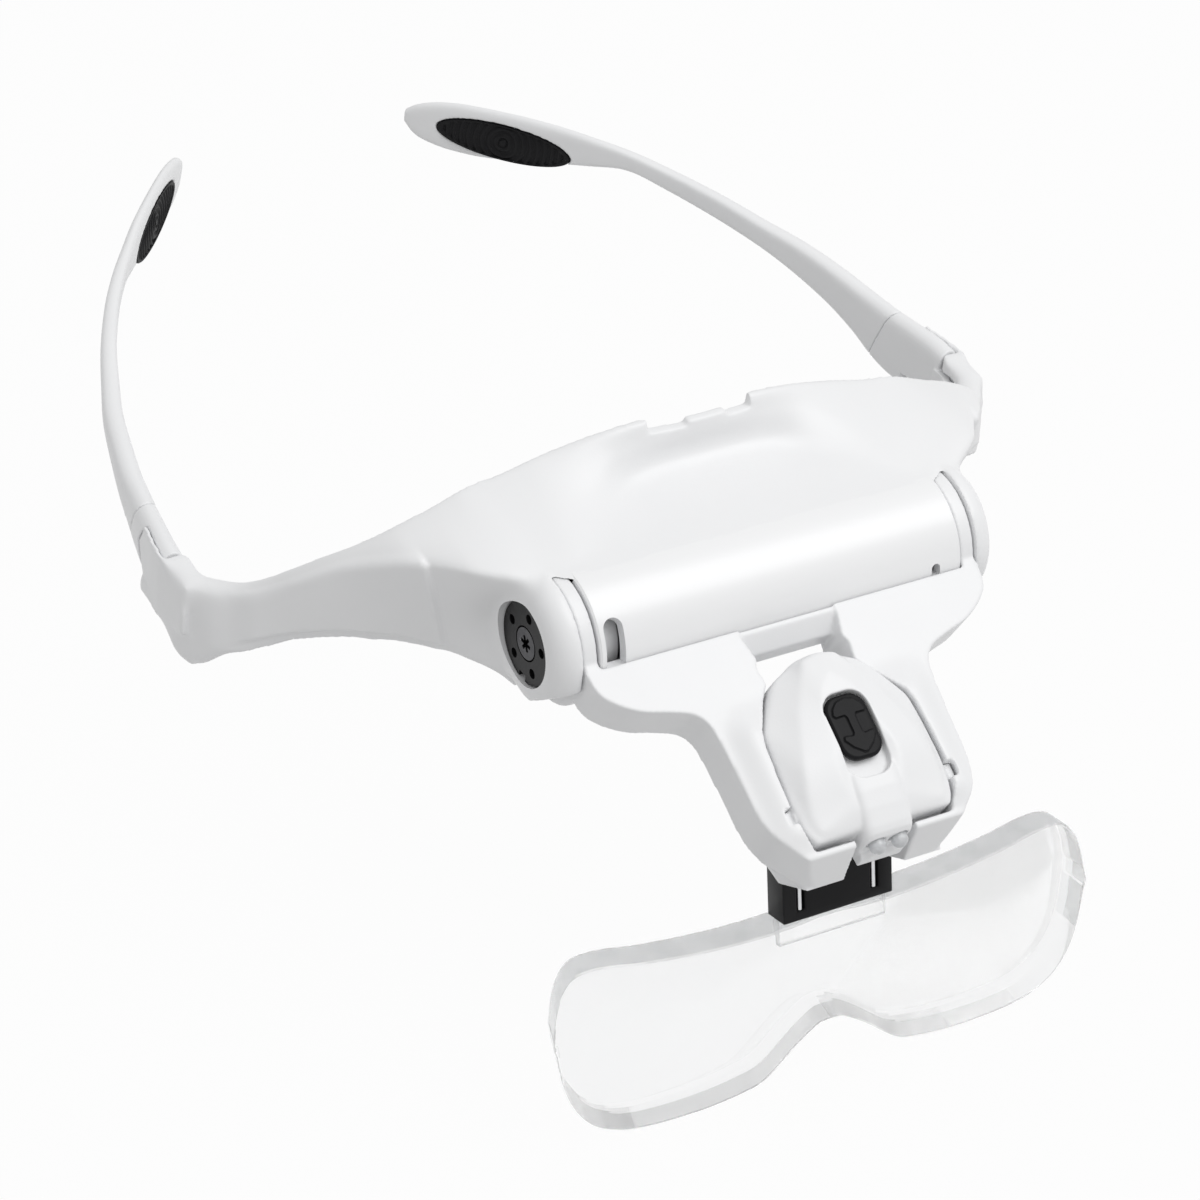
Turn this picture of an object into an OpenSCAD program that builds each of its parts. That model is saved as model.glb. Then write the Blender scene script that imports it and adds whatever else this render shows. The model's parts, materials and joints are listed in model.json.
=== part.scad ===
/* [Pivot drum] */
// Radius of the drum that runs across the front
drum_r = 12.5; // [12:0.1:13.2]
// Half of the drum's length, from the middle to an ear slot
drum_half = 36.1; // [34:0.1:38]
// Wall of the drum and of the visor shell
shell_wall = 2; // [1.6:0.1:2.4]
// Width of the slot that each ear of the yoke turns in
ear_slot = 3.3; // [3:0.1:3.8]
// Side clearance of an ear in its slot
ear_gap = 0.25; // [0.15:0.05:0.4]
// How far the ear's rim lies under the drum's surface
ear_sink = 0.6; // [0.5:0.05:0.9]
// Length of each end cap outside its slot
cap_len = 4.6; // [4.2:0.1:5.4]
// Radius of the round recess in an end cap
recess_r = 7.65; // [7:0.05:8]

/* [Visor] */
// Height of the visor's top edge in the middle, above the drum's axis
brow_top = 24.3; // [22:0.1:27]
// Distance of the visor's top edge behind the drum's axis
brow_back = 20.5; // [19:0.1:22]
// Length of the notch in the top edge
notch_len = 20.5; // [14:0.5:26]
// Depth of the notch in the top edge
notch_depth = 2.9; // [2:0.1:4]
// Length of the tab in the notch
tab_len = 7.9; // [5:0.1:10]
// Height of the tab above the notch's floor
tab_rise = 1; // [0.5:0.1:1.6]
// Opening angle of the left window in the drum, above the front line
left_window_top = 44; // [30:1:50]
// Opening angle of the right window in the drum, above the front line
right_window_top = 15; // [10:1:30]

/* [Temple hinges] */
// Half of the distance between the two hinge pins
hinge_half = 80; // [78:0.5:84]
// Distance of the hinge pins behind the drum's axis
hinge_back = 52; // [50:0.5:54]
// Radius of a hinge pin
pin_r = 1; // [0.8:0.05:1.2]
// Running clearance between a pin or shaft and its bore
run_gap = 0.05; // [0.03:0.01:0.08]
// Radius of the knuckle round a hinge pin
knuckle_r = 3; // [2.6:0.1:3.2]
// Height of the hinge's upper face, below the drum's axis
hinge_top = 8.7; // [8:0.1:10]
// Thickness of the upper hinge lug
lug_top_t = 3.3; // [2.6:0.1:4]
// Height of a hinge knuckle
knuckle_h = 6.2; // [5:0.1:7]
// Thickness of the lower hinge lug
lug_low_t = 2.4; // [2:0.1:3]
// Gap between a lug and the knuckle
knuckle_gap = 0.2; // [0.15:0.05:0.3]

/* [Temples] */
// Length of a temple from its hinge pin to its tip, measured along the head
temple_len = 115.2; // [105:0.5:125]
// Thickness of a temple next to its hinge
temple_t = 4.9; // [4.2:0.1:5.4]
// Height of the paddle at a temple's end
paddle_h = 10.6; // [9.5:0.1:12]
// Length of the seam's plug, where an arm pulls off its connector
plug_len = 7; // [5:0.5:9]
// Height of the plug
plug_h = 5; // [4:0.1:6]
// Thickness of the plug
plug_t = 2; // [1.6:0.1:2.2]
// Clearance round the plug
plug_gap = 0.1; // [0.08:0.01:0.15]
// Length of the rubber pad on a paddle
pad_len = 27.7; // [24:0.1:30]
// Height of the rubber pad
pad_h = 7.4; // [6:0.1:8]
// Thickness of the rubber pad
pad_t = 1.7; // [1.4:0.1:2]

/* [Lens yoke] */
// Slope of the yoke below the horizontal
yoke_slope = 29; // [20:1:35]
// Thickness of the yoke's plates and arms
yoke_t = 8.8; // [8:0.1:9.4]
// Height of the yoke's front ridge above the pivot's plane
yoke_front = 7.6; // [7:0.1:8.2]
// Distance from the pivot to the yoke's lower end
yoke_len = 55.1; // [54:0.1:57]
// Width across the yoke's arms
yoke_arms_w = 42.2; // [41:0.1:45]
// Gap between the drum and the yoke's plates
plate_gap = 0.3; // [0.25:0.05:0.5]
// Width of the gap between the two lower lips
lip_gap = 12; // [11:0.1:13]

/* [Lamp] */
// Half of the lamp's width
lamp_half = 15.1; // [14.6:0.1:15.4]
// Distance from the pivot to the lamp's upper tip
lamp_top = 18.5; // [17.5:0.1:19.5]
// Clearance between the lamp and the yoke
lamp_gap = 0.5; // [0.35:0.05:0.6]
// Height of the lamp's rim above the pivot's plane
lamp_rim = 9.3; // [8.8:0.1:9.8]
// Height of the lamp's crown above the pivot's plane
lamp_crown = 13.3; // [12.6:0.1:14]
// Depth of the lamp's back below the pivot's plane
lamp_back = 1; // [0.6:0.1:1.1]
// Wall of the lamp's shells
lamp_wall = 1.4; // [1.1:0.1:1.6]
// Distance from the yoke's pivot to the lamp's pivot
lamp_pivot_u = 44.7; // [44:0.1:45.5]
// Height of the lamp's pivot above the pivot's plane
lamp_pivot_w = 7; // [6.6:0.1:7.4]
// Radius of the lamp's pivot pins
lamp_pin_r = 1.5; // [1.2:0.05:1.7]
// Diameter of a button cell
cell_d = 11.6; // [11:0.1:11.8]
// Thickness of a button cell
cell_t = 3.1; // [2.6:0.05:3.2]
// Length of the switch knob
knob_len = 12; // [10:0.1:12.6]
// Width of the switch knob
knob_w = 8; // [7:0.1:8.6]
// Travel of the switch knob
knob_travel = 2.8; // [2:0.1:3.2]
// Diameter of a light-emitting diode
led_d = 3; // [2.8:0.1:3.2]
// Distance between the two diodes
led_pitch = 4.4; // [4:0.1:4.8]

/* [Lens and clip] */
// Tilt of the lens, bottom edge forward
lens_tilt = 15; // [12:0.5:18]
// Thickness of the lens
lens_t = 6; // [5:0.1:6.6]
// Half of the lens's width
lens_half = 55; // [50:0.5:60]
// Height of the lens
lens_h = 33.3; // [31:0.1:36]
// Width of the clip
clip_w = 22.2; // [21:0.1:23]
// Depth of the clip from front to back
clip_t = 5.2; // [4.8:0.1:5.6]
// Height of the clip
clip_h = 17.5; // [16:0.1:18.2]
// Clearance between the clip and its socket
clip_gap = 0.2; // [0.15:0.05:0.3]
// Width of the lens's tab inside the clip
lens_tab_w = 17; // [15:0.5:18]
// Thickness of the lens's tab
lens_tab_t = 2; // [1.6:0.1:2.4]

/* [Screws] */
// Radius of the pivot screws
pivot_screw_r = 1.5; // [1.2:0.1:1.8]
// Radius of the small screws
small_screw_r = 0.8; // [0.7:0.05:0.9]

/* [Hidden] */
$fn = 48;
eps = 0.01;
far = 400;
white = [0.95, 0.95, 0.95];
black = [0.08, 0.08, 0.08];

// Stations along the drum: slot, ear and cap
slot_end = drum_half + ear_slot;
cap_side = slot_end + cap_len;
ear_start = drum_half + ear_gap;
ear_t = ear_slot - 2 * ear_gap;
ear_r = drum_r - ear_sink;
slot_r = ear_r + ear_gap;
end_wall = 1.6;
boss_r = 6;
boss_len = 4;
recess_depth = cap_len - shell_wall;
cap_plane_angle = 52;
cap_plane_depth = 2.7;
disc_gap = 0.3;
disc_r = recess_r - disc_gap;
disc_t = recess_depth - 0.6;
axle_r = 4;
axle_len = shell_wall + ear_slot + end_wall - 0.1;
screw_head_r = 2.9;
screw_head_t = 1.3;
washer_t = 0.5;

// Heights of the hinge, all below the drum's axis
knuckle_top = -hinge_top - lug_top_t - knuckle_gap;
knuckle_low = knuckle_top - knuckle_h;
lug_low_top = knuckle_low - knuckle_gap;
lug_low_bottom = lug_low_top - lug_low_t;
lug_in = 2.8;
lug_out = 3.4;
lug_back = 3.5;
lug_low_back = 12.2;

function lerp(a, b, t) = a + (b - a) * t;
function flip(p) = [-p[0], p[1], p[2]];
function mirrored(half) = concat(half, [for (i = [len(half) - 1:-1:0]) [-half[i][0], half[i][1]]]);
// Both halves of an outline whose first point lies on the middle line
function around(half) = concat(half, [for (i = [len(half) - 1:-1:1]) [-half[i][0], half[i][1]]]);
function reversed(list) = [for (i = [len(list) - 1:-1:0]) list[i]];
function arc(r, a0, a1, n, c = [0, 0]) =
    [for (i = [0:n]) c + r * [cos(lerp(a0, a1, i / n)), sin(lerp(a0, a1, i / n))]];

// Closed skin through rings of equal, even length. Each end is a ladder
// between the ring's first half and its second half. From ring number
// turn on, the facets' diagonals run the other way.
module loft(rings, turn = 1000) {
    n = len(rings[0]);
    last = (len(rings) - 1) * n;
    polyhedron(
        points = [for (ring = rings) each ring],
        faces = concat(
            [for (j = [0:n / 2 - 2]) each [[j, j + 1, n - 2 - j], [j, n - 2 - j, n - 1 - j]]],
            [for (j = [0:n / 2 - 2]) each [
                [last + j, last + n - 2 - j, last + j + 1], [last + j, last + n - 1 - j, last + n - 2 - j]]],
            [for (i = [0:n:last - n]) for (j = [0:n - 1]) let (k = (j + 1) % n) each (i < turn * n
                ? [[i + j, i + n + j, i + n + k], [i + j, i + n + k, i + k]]
                : [[i + j, i + n + j, i + k], [i + n + j, i + n + k, i + k]])]),
        convexity = 6);
}

module both_sides() {
    children();
    mirror([1, 0, 0]) children();
}

module along_x(from, len, r) {
    translate([from, 0, 0]) rotate([0, 90, 0]) cylinder(h = len, r = r);
}

// The yoke's own frame: x across, -y down the slope, z outward
module in_yoke() {
    rotate([yoke_slope, 0, 0]) children();
}

// The lens's own frame: x across, -y forward, -z down
module in_lens() {
    rotate([-lens_tilt, 0, 0]) children();
}

// Plate in the yoke's frame from an outline of [x, distance down the slope]
module sloped_plate(outline, low, high) {
    translate([0, 0, low]) linear_extrude(high - low) mirror([0, 1]) polygon(outline);
}

// Prism across x from a side view of [distance down the slope, height]
module sloped_prism(side, half_w) {
    rotate([90, 0, -90]) linear_extrude(2 * half_w, center = true) polygon(side);
}

// Visor: places along the right half, from the middle to the hinge.
// Each place gives the front crease, the front face's middle and bottom,
// the top edge behind, the front wall's thickness and the top's rise.
hinge_out = hinge_half + lug_out - 0.1;
span_x = hinge_out - cap_side;
span_y = hinge_back - 1;
drop = drum_r + hinge_top;
function wing_at(sx, sy, sz) = [
    cap_side + sx * span_x,
    sy * span_y,
    drum_r - sz * drop];
wing = [
    [[-0.10, 0.02, 0.02], [-0.10, 0.167, 0.59], [-0.10, 0.07, 1.12], [-0.10, 0.47, -0.21], 2.4, 0.1],
    [[0.005, 0.03, 0.01], [0.005, 0.18, 0.59], [0.005, 0.12, 1.15], [0.01, 0.47, -0.165], 2.4, 0.2],
    [[0.075, 0.065, 0.005], [0.075, 0.195, 0.57], [0.075, 0.22, 1.15], [0.08, 0.47, -0.115], 2.4, 0.3],
    [[0.148, 0.124, 0.023], [0.153, 0.235, 0.565], [0.160, 0.32, 1.11], [0.155, 0.475, -0.055], 2.4, 0.6],
    [[0.275, 0.263, 0.104], [0.285, 0.333, 0.57], [0.293, 0.404, 1.085], [0.268, 0.486, 0.035], 2.4, 0.9],
    [[0.370, 0.353, 0.179], [0.378, 0.405, 0.6], [0.386, 0.459, 1.11], [0.345, 0.502, 0.118], 2.4, 1],
    [[0.510, 0.496, 0.391], [0.507, 0.508, 0.72], [0.485, 0.522, 1.137], [0.464, 0.553, 0.289], 2.5, 1],
    [[0.622, 0.590, 0.590], [0.628, 0.602, 0.88], [0.637, 0.624, 1.25], [0.566, 0.624, 0.467], 2.6, 0.9],
    [[0.730, 0.692, 0.807], [0.728, 0.685, 1.05], [0.724, 0.678, 1.354], [0.668, 0.714, 0.693], 2.8, 0.8],
    [[0.793, 0.749, 0.892], [0.800, 0.742, 1.15], [0.808, 0.733, 1.462], [0.717, 0.773, 0.807], 3.2, 0.7],
    [[0.855, 0.800, 0.965], [0.868, 0.794, 1.25], [0.880, 0.790, 1.595], [0.752, 0.83, 0.9], 3.8, 0.5],
    [[0.905, 0.843, 0.996], [0.922, 0.840, 1.34], [0.940, 0.853, 1.77], [0.788, 0.892, 0.97], 4.6, 0.4],
    [[0.962, 0.914, 1.010], [0.958, 0.915, 1.4], [0.950, 0.93, 1.835], [0.834, 0.953, 1.0], 5, 0.2]
];

// Plan direction that leads from the front face to the wearer's side
function wing_in(i) =
    i < 3 ? [0, 1, 0] :
    let (a = wing_at(wing[i - 1][0][0], wing[i - 1][0][1], 0),
         b = wing_at(wing[min(i + 1, len(wing) - 1)][0][0], wing[min(i + 1, len(wing) - 1)][0][1], 0),
         d = [b[0] - a[0], b[1] - a[1]])
    [-d[1], d[0], 0] / norm(d);

// Ring of one wing place: up the front, back over the top, down inside
function wing_ring(i) =
    let (w = wing[i],
         c = wing_at(w[0][0], w[0][1], w[0][2]),
         m = wing_at(w[1][0], w[1][1], w[1][2]),
         b = wing_at(w[2][0], w[2][1], w[2][2]),
         t = wing_at(w[3][0], w[3][1], w[3][2]),
         wall = wing_in(i) * w[4],
         up = [0, 0, w[5]],
         under = [0, 0, -shell_wall * 0.8])
    [b, m, c,
     lerp(c, t, 0.12) + up * 0.8, lerp(c, t, 0.38) + up * 1.1, lerp(c, t, 0.68) + up * 0.9,
     lerp(c, t, 0.92) + up * 0.4, t,
     t + under, lerp(t + under, c + wall + under, 0.4), lerp(t + under, c + wall + under, 0.75),
     c + wall + under, m + wall, b + wall];

// Brow and bulge over the drum: share of the drum's half, then the top
// edge and the foot of the brow, each as [behind the axis, above it]
brow = [
    [0, [1, 1], [0.83, 0.642]],
    [0.266, [1.04, 0.963], [0.81, 0.638]],
    [0.435, [1.075, 0.93], [0.746, 0.617]],
    [0.59, [1.115, 0.875], [0.61, 0.613]],
    [0.748, [1.153, 0.815], [0.439, 0.597]],
    [0.873, [1.159, 0.77], [0.268, 0.568]],
    [0.975, [1.163, 0.728], [0.13, 0.53]]
];
function brow_ring(i) =
    let (p = brow[i],
         x = p[0] * drum_half,
         t = [x, p[1][0] * brow_back, p[1][1] * brow_top],
         a = [x, p[2][0] * brow_back, p[2][1] * brow_top],
         f = [x, -1.8, drum_r - 0.1],
         rim = [x, t[1] - shell_wall * 0.8, t[2] + 0.1],
         lip = drum_r - shell_wall)
    [[x, -1.6, lip + 0.3], [x, -1.8, lip + 1], f,
     [x, lerp(f[1], a[1], 0.55), lerp(f[2], a[2], 0.35)], a, lerp(a, rim, 0.6), rim, t,
     t + [0, -0.2, -shell_wall * 0.9], a + [0, 0.9 * shell_wall, -0.9 * shell_wall],
     [x, lerp(f[1], a[1], 0.55) + 0.8, lerp(f[2], a[2], 0.35) - shell_wall],
     [x, 1.5, lip + 0.4], [x, 0.3, lip + 0.4], [x, -0.6, lip + 0.25]];

right_rings = concat([for (i = [0:len(brow) - 1]) brow_ring(i)], [for (i = [0:len(wing) - 1]) wing_ring(i)]);
shell_rings = concat(
    [for (i = [len(right_rings) - 1:-1:1]) right_rings[i]],
    [for (ring = right_rings) [for (p = ring) flip(p)]]);

// Rounded end of the drum, outside the ear slot, with its lower front planed off
module cap_dome() {
    round_r = cap_len - 0.4;
    profile = concat(
        [[0, 0], [drum_r, 0]],
        [for (a = [0:15:90]) [drum_r - round_r + round_r * cos(a), cap_len - round_r + round_r * sin(a)]],
        [[0, cap_len]]);
    difference() {
        translate([slot_end, 0, 0]) rotate([0, 90, 0]) rotate_extrude($fn = 64) polygon(profile);
        rotate([cap_plane_angle, 0, 0]) translate([0, -far - drum_r + cap_plane_depth, -far / 2]) cube(far);
    }
}

// Wall round the hinge knuckle: two lugs and the outer corner below them
module hinge_lugs() {
    x0 = hinge_half - lug_in;
    x1 = hinge_half + lug_out;
    y0 = hinge_back - 5.4;
    // The inner rear corner is cut off, so that the folding temple clears it
    translate([0, 0, -hinge_top - lug_top_t]) linear_extrude(lug_top_t)
        polygon([[x0, y0], [x1 - 1.6, y0], [x1 - 0.3, hinge_back - 2], [x1, hinge_back],
                 [x1, hinge_back + lug_back], [hinge_half - 0.8, hinge_back + lug_back],
                 [x0, hinge_back + 1.8], [x0, hinge_back]]);
    intersection() {
        rotate([90, 0, 90]) linear_extrude(far) polygon([
            [y0, -hinge_top], [hinge_back - 3.3, -hinge_top], [hinge_back - 3.3, lug_low_top],
            [hinge_back + lug_low_back, lug_low_top], [hinge_back + lug_low_back, lug_low_bottom],
            [hinge_back + 5, lug_low_bottom - 0.4], [hinge_back + 1.2, lug_low_bottom - 1.8],
            [hinge_back - 1.6, lug_low_bottom - 4.1], [y0, lug_low_bottom - 5.6]]);
        translate([0, 0, -far / 2]) linear_extrude(far)
            polygon([[x0, y0], [x1 - 1.6, y0], [x1 - 0.3, hinge_back - 2], [x1, hinge_back],
                     [x1, hinge_back + lug_back], [x1 - 0.7, hinge_back + lug_low_back],
                     [x0 + 0.8, hinge_back + lug_low_back], [x0 + 0.6, hinge_back + lug_back],
                     [x0, hinge_back]]);
    }
}

// Sector of a ring round the drum's axis, used to open a window. Each window
// has its distance from the drum's end and its width.
left_window = [1.1, 3.7];
right_window = [6.1, 1.7];
window_low = 4;
module drum_window(from_x, width, low_angle, high_angle) {
    translate([from_x, 0, 0]) rotate([90, 0, 90]) linear_extrude(width)
        polygon(concat(arc(drum_r - shell_wall - 0.2, 180 - low_angle, 180 - high_angle, 6),
                       reversed(arc(drum_r + 1, 180 - low_angle, 180 - high_angle, 6))));
}

module visor_shell() {
    color(white) difference() {
        union() {
            difference() {
                union() {
                    loft(shell_rings, turn = len(right_rings) - 1);
                    both_sides() cap_dome();
                }
                // Inside of the drum, and the slots the ears turn in
                along_x(-drum_half + end_wall, 2 * (drum_half - end_wall), drum_r - shell_wall);
                both_sides() along_x(drum_half, ear_slot, slot_r);
            }
            difference() {
                along_x(-drum_half, 2 * drum_half, drum_r);
                along_x(-drum_half + end_wall, 2 * (drum_half - end_wall), drum_r - shell_wall);
            }
            both_sides() along_x(drum_half - end_wall - boss_len, boss_len + eps, boss_r);
            both_sides() hinge_lugs();
            // Posts that the rear cover is screwed to
            for (side = [-1, 1]) translate([side * cover_screw_x, post_y, 0])
                rotate([-90, 0, 0]) cylinder(h = post_len, r = cover_post_r);
        }
        both_sides() {
            along_x(slot_end + shell_wall, far, recess_r);
            along_x(drum_half - end_wall, far, axle_r + run_gap);
            along_x(drum_half - end_wall - boss_len - 1, far, pivot_screw_r + run_gap);
            translate([hinge_half, hinge_back, lug_low_bottom - 10])
                cylinder(h = 10 - lug_low_bottom - hinge_top - 1.2, r = pin_r + run_gap);
        }
        for (side = [-1, 1]) translate([side * cover_screw_x, post_y - shell_wall - 1, 0])
            rotate([-90, 0, 0]) cylinder(h = far, r = small_screw_r + run_gap);
        drum_window(-drum_half + left_window[0], left_window[1], window_low, left_window_top);
        drum_window(drum_half - right_window[0], right_window[1], window_low, right_window_top);
        // Notch in the top edge, with its tab left standing
        difference() {
            translate([-notch_len / 2, 0, brow_top - notch_depth]) cube([notch_len, far, far]);
            translate([1 - tab_len / 2, 0, 0]) cube([tab_len, far, brow_top - notch_depth + tab_rise]);
        }
    }
}

// Rear cover behind the drum, with the bracket for the nose pad
cover_half = 33;
cover_front = 15;
cover_t = 1.6;
cover_low = 11;
cover_high = 11;
cover_screw_x = 22;
cover_post_r = 2.6;
post_y = drum_r - shell_wall;
post_len = cover_front - post_y;
bracket_half = 5;
bracket_low = 27;
pad_wall = 2;

module rear_cover() {
    color(white) difference() {
        union() {
            translate([-cover_half, cover_front, -cover_low])
                cube([2 * cover_half, cover_t, cover_low + cover_high]);
            translate([-bracket_half, cover_front, -bracket_low])
                cube([2 * bracket_half, cover_t, bracket_low]);
        }
        for (side = [-1, 1]) translate([side * cover_screw_x, cover_front - 1, 0])
            rotate([-90, 0, 0]) cylinder(h = cover_t + 2, r = small_screw_r + run_gap);
    }
}

module cover_screws() {
    color("silver") for (side = [-1, 1])
        translate([side * cover_screw_x, cover_front + cover_t, 0]) rotate([90, 0, 0]) {
            cylinder(h = cover_t + post_len, r = small_screw_r);
            translate([0, 0, -0.9]) cylinder(h = 0.9, r = 1.7);
        }
}

// Soft saddle that rests on the nose, slipped over the bracket
module nose_pad() {
    spread = 11;
    drop_below = 6;
    top = -cover_low - drop_below;
    color([0.85, 0.87, 0.88]) difference() {
        translate([0, cover_front - pad_wall, 0]) rotate([90, 0, 0]) mirror([0, 0, 1])
            linear_extrude(cover_t + 2 * pad_wall) polygon(mirrored([
                [0, top], [7.5, top], [9.5, top - 4], [spread, top - 13], [spread - 1.4, top - 17],
                [spread - 4, top - 16], [6.2, top - 12.5], [0, top - 11.6]]));
        translate([-bracket_half - 0.3, cover_front - 0.3, -bracket_low - 0.3])
            cube([2 * bracket_half + 0.6, cover_t + 0.6, bracket_low]);
    }
}

module hinge_pin() {
    color("silver") translate([hinge_half, hinge_back, lug_low_bottom - 0.9])
        cylinder(h = -hinge_top - 1.4 - lug_low_bottom + 0.9, r = pin_r);
}

// Black disc in the end cap, whose stub carries the yoke's ear
module pivot_disc() {
    hole_ring = 5.2;
    color(black) difference() {
        union() {
            along_x(slot_end + shell_wall, disc_t, disc_r);
            along_x(slot_end + shell_wall - axle_len, axle_len, axle_r);
        }
        along_x(0, far, pivot_screw_r + run_gap);
        along_x(slot_end + shell_wall + disc_t - screw_head_t - washer_t, far, screw_head_r + 0.3);
        for (k = [0:4]) rotate([k * 72 + 20, 0, 0]) translate([0, hole_ring, 0])
            along_x(slot_end + shell_wall + disc_t - 1.4, far, 0.9);
        translate([slot_end + shell_wall + disc_t - 1.2, -1, -disc_r - 1]) cube([far, 2, 2.2]);
    }
}

module pivot_washer() {
    color("silver") difference() {
        along_x(slot_end + shell_wall + disc_t - screw_head_t - washer_t, washer_t, screw_head_r);
        along_x(0, far, pivot_screw_r + run_gap);
    }
}

module pivot_screw() {
    head_x = slot_end + shell_wall + disc_t - screw_head_t;
    screw_tip = drum_half - end_wall - boss_len + 0.5;
    color([0.2, 0.2, 0.2]) difference() {
        union() {
            along_x(head_x, screw_head_t, screw_head_r);
            along_x(screw_tip, head_x - screw_tip + eps, pivot_screw_r);
        }
        for (k = [0:2]) rotate([k * 60, 0, 0])
            translate([head_x + 0.4, -1.5, -0.35]) cube([far, 3, 0.7]);
    }
}

// Lens yoke, drawn flat: [half width, distance down the slope]
yoke_low = yoke_front - yoke_t;
arm_half = yoke_arms_w / 2;
plate_r = drum_r + plate_gap;
yoke_outer = [
    [slot_end - 0.1, 8], [slot_end - 0.1, 11], [slot_end - 0.8, 14.6], [drum_half, 17.3],
    [drum_half - 3.5, 19.5], [drum_half - 8.3, 21], [arm_half + 3, 22.4],
    [arm_half + 1.1, 24.4], [arm_half + 0.4, 27.5], [arm_half, 37.9], [arm_half - 0.3, 43.5],
    [arm_half - 1.9, 48], [arm_half - 4.8, yoke_len - 3.6], [arm_half - 7.6, yoke_len - 1],
    [arm_half - 10.8, yoke_len]];

// Lamp outline, right half, from its upper tip to its lower edge
lamp_low = lamp_pivot_u + 5.7;
lamp_swing = lamp_pivot_w + lamp_back;
lamp_turn = 20;
function lamp_shape(grow) = [for (p = [
    [0, 0], [0.225, 0.5], [0.377, 1.6], [0.55, 2.9], [0.69, 5.3], [0.92, 10.7], [0.96, 13.1],
    [0.987, 19], [1, 24.3], [0.985, 27.6], [0.95, 30], [0.885, lamp_low - lamp_top]])
    [p[0] * lamp_half + grow * min(1, p[0] * 2),
     lamp_top + p[1] + (p[1] < 5 ? -grow : (p[1] > 31 ? grow : 0))]];

// Opening between the arms: wide round the lamp, narrow at the crossbar
bar_low = 14.6;
bar_high = 11.5;
opening = concat(
    [[6, bar_low], [8.2, bar_low + 0.9], [9.2, bar_low + 3]],
    [for (p = lamp_shape(lamp_gap)) if (p[1] > lamp_top + 3 && p[1] < lamp_low - 1) p],
    [[lamp_half * 0.93, lamp_low - 0.4], [lamp_half * 0.9, lamp_low + 0.9]]);

// From the lens's frame, [forward, down], to the yoke's side view
lean = yoke_slope + lens_tilt;
function from_lens(k, v) = [k * cos(lean) + v * sin(lean), k * sin(lean) - v * cos(lean)];
function to_lens(u, w) = [u * cos(lean) + w * sin(lean), u * sin(lean) - w * cos(lean)];
socket_front = 2.6;
socket_back = 1.7;
socket_half = clip_w / 2 + 2.6;
socket_lip = [yoke_len - 4.9, yoke_low - 7.8];
clip_front = to_lens(socket_lip[0], socket_lip[1])[0] - socket_front;
clip_back = clip_front - clip_t;
clip_low = to_lens(socket_lip[0], socket_lip[1])[1] + 9.8;
clip_top = clip_low - clip_h;

module yoke_ear() {
    along_x(ear_start, ear_t, ear_r);
}

// Low ridge along the inner edge of each arm, round the lamp
module arm_rise() {
    high = lamp_rim + 0.4;
    intersection() {
        sloped_plate(mirrored(yoke_outer), yoke_front - 1, far);
        rotate([90, 0, 0]) linear_extrude(far, center = true)
            polygon([[9, yoke_front - 1], [arm_half - 0.6, yoke_front - 1], [arm_half - 0.6, yoke_front],
                     [lamp_half + lamp_gap + 0.3, high], [9, high]]);
        sloped_prism([[23, yoke_front - 1], [23.5, yoke_front], [30, high], [lamp_pivot_u + 3.5, high],
                      [lamp_low, yoke_front], [lamp_low, yoke_front - 1]], 40);
    }
}

module lens_yoke() {
    color(white) difference() {
        union() {
            in_yoke() difference() {
                union() {
                    sloped_plate(mirrored(yoke_outer), yoke_low, yoke_front);
                    both_sides() arm_rise();
                }
                sloped_plate(mirrored(opening), yoke_low - 1, far);
                // Lower end, slanting in towards the front
                sloped_prism([[yoke_len - 2.9, far], [yoke_len - 2.7, yoke_front],
                              [yoke_len - 0.2, yoke_low - eps], [far, yoke_low - eps], [far, far]], 60);
                sloped_plate(mirrored([[8.5, 0], [9.6, bar_high], [8.4, bar_low + 2]]), yoke_low - 1, far);
            }
            in_yoke() sloped_prism([[10, 0], [10, yoke_front - 0.3], [bar_high, yoke_front - 0.3],
                                    [bar_low, 4.3], [bar_low, 0.5], [bar_low - 1, 0]], 10);
            in_yoke() sloped_prism([
                [yoke_len - 0.2, yoke_low], socket_lip,
                from_lens(clip_back - socket_back, clip_low - 14.1),
                from_lens(clip_back - socket_back, clip_top - 3),
                [lamp_pivot_u - 5.5, yoke_low]], socket_half);
            both_sides() yoke_ear();
        }
        // Room for the drum between the ears, and outside them
        along_x(-ear_start, 2 * ear_start, plate_r);
        both_sides() {
            along_x(ear_start + ear_t, far, plate_r);
            along_x(0, far, axle_r + run_gap);
        }
        in_lens() translate([-clip_w / 2 - clip_gap, -clip_front - clip_gap, -far])
            cube([clip_w + 2 * clip_gap, clip_t + 2 * clip_gap, far - clip_top + clip_gap]);
        in_yoke() {
            // Gap between the lips for the lamp's nose, down to the clip
            sloped_prism([[lamp_low - 3, far], [lamp_low - 3, yoke_low - 0.7],
                          [lamp_low - 0.2, yoke_low - 0.7], [lamp_low - 3.4, yoke_low - 8.7],
                          [lamp_low - 5, yoke_low - 12],
                          [far, yoke_low - 12], [far, far]], lip_gap / 2);
            // Seats that the lamp's pivot pins snap into from the front
            both_sides() {
                translate([0, -lamp_pivot_u, lamp_pivot_w])
                    along_x(0, lamp_half + 2.2, lamp_pin_r + run_gap);
                translate([0, -lamp_pivot_u - lamp_pin_r + 0.1, lamp_pivot_w])
                    cube([lamp_half + 1.8, 2 * lamp_pin_r - 0.2, far]);
            }
        }
    }
}

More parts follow.
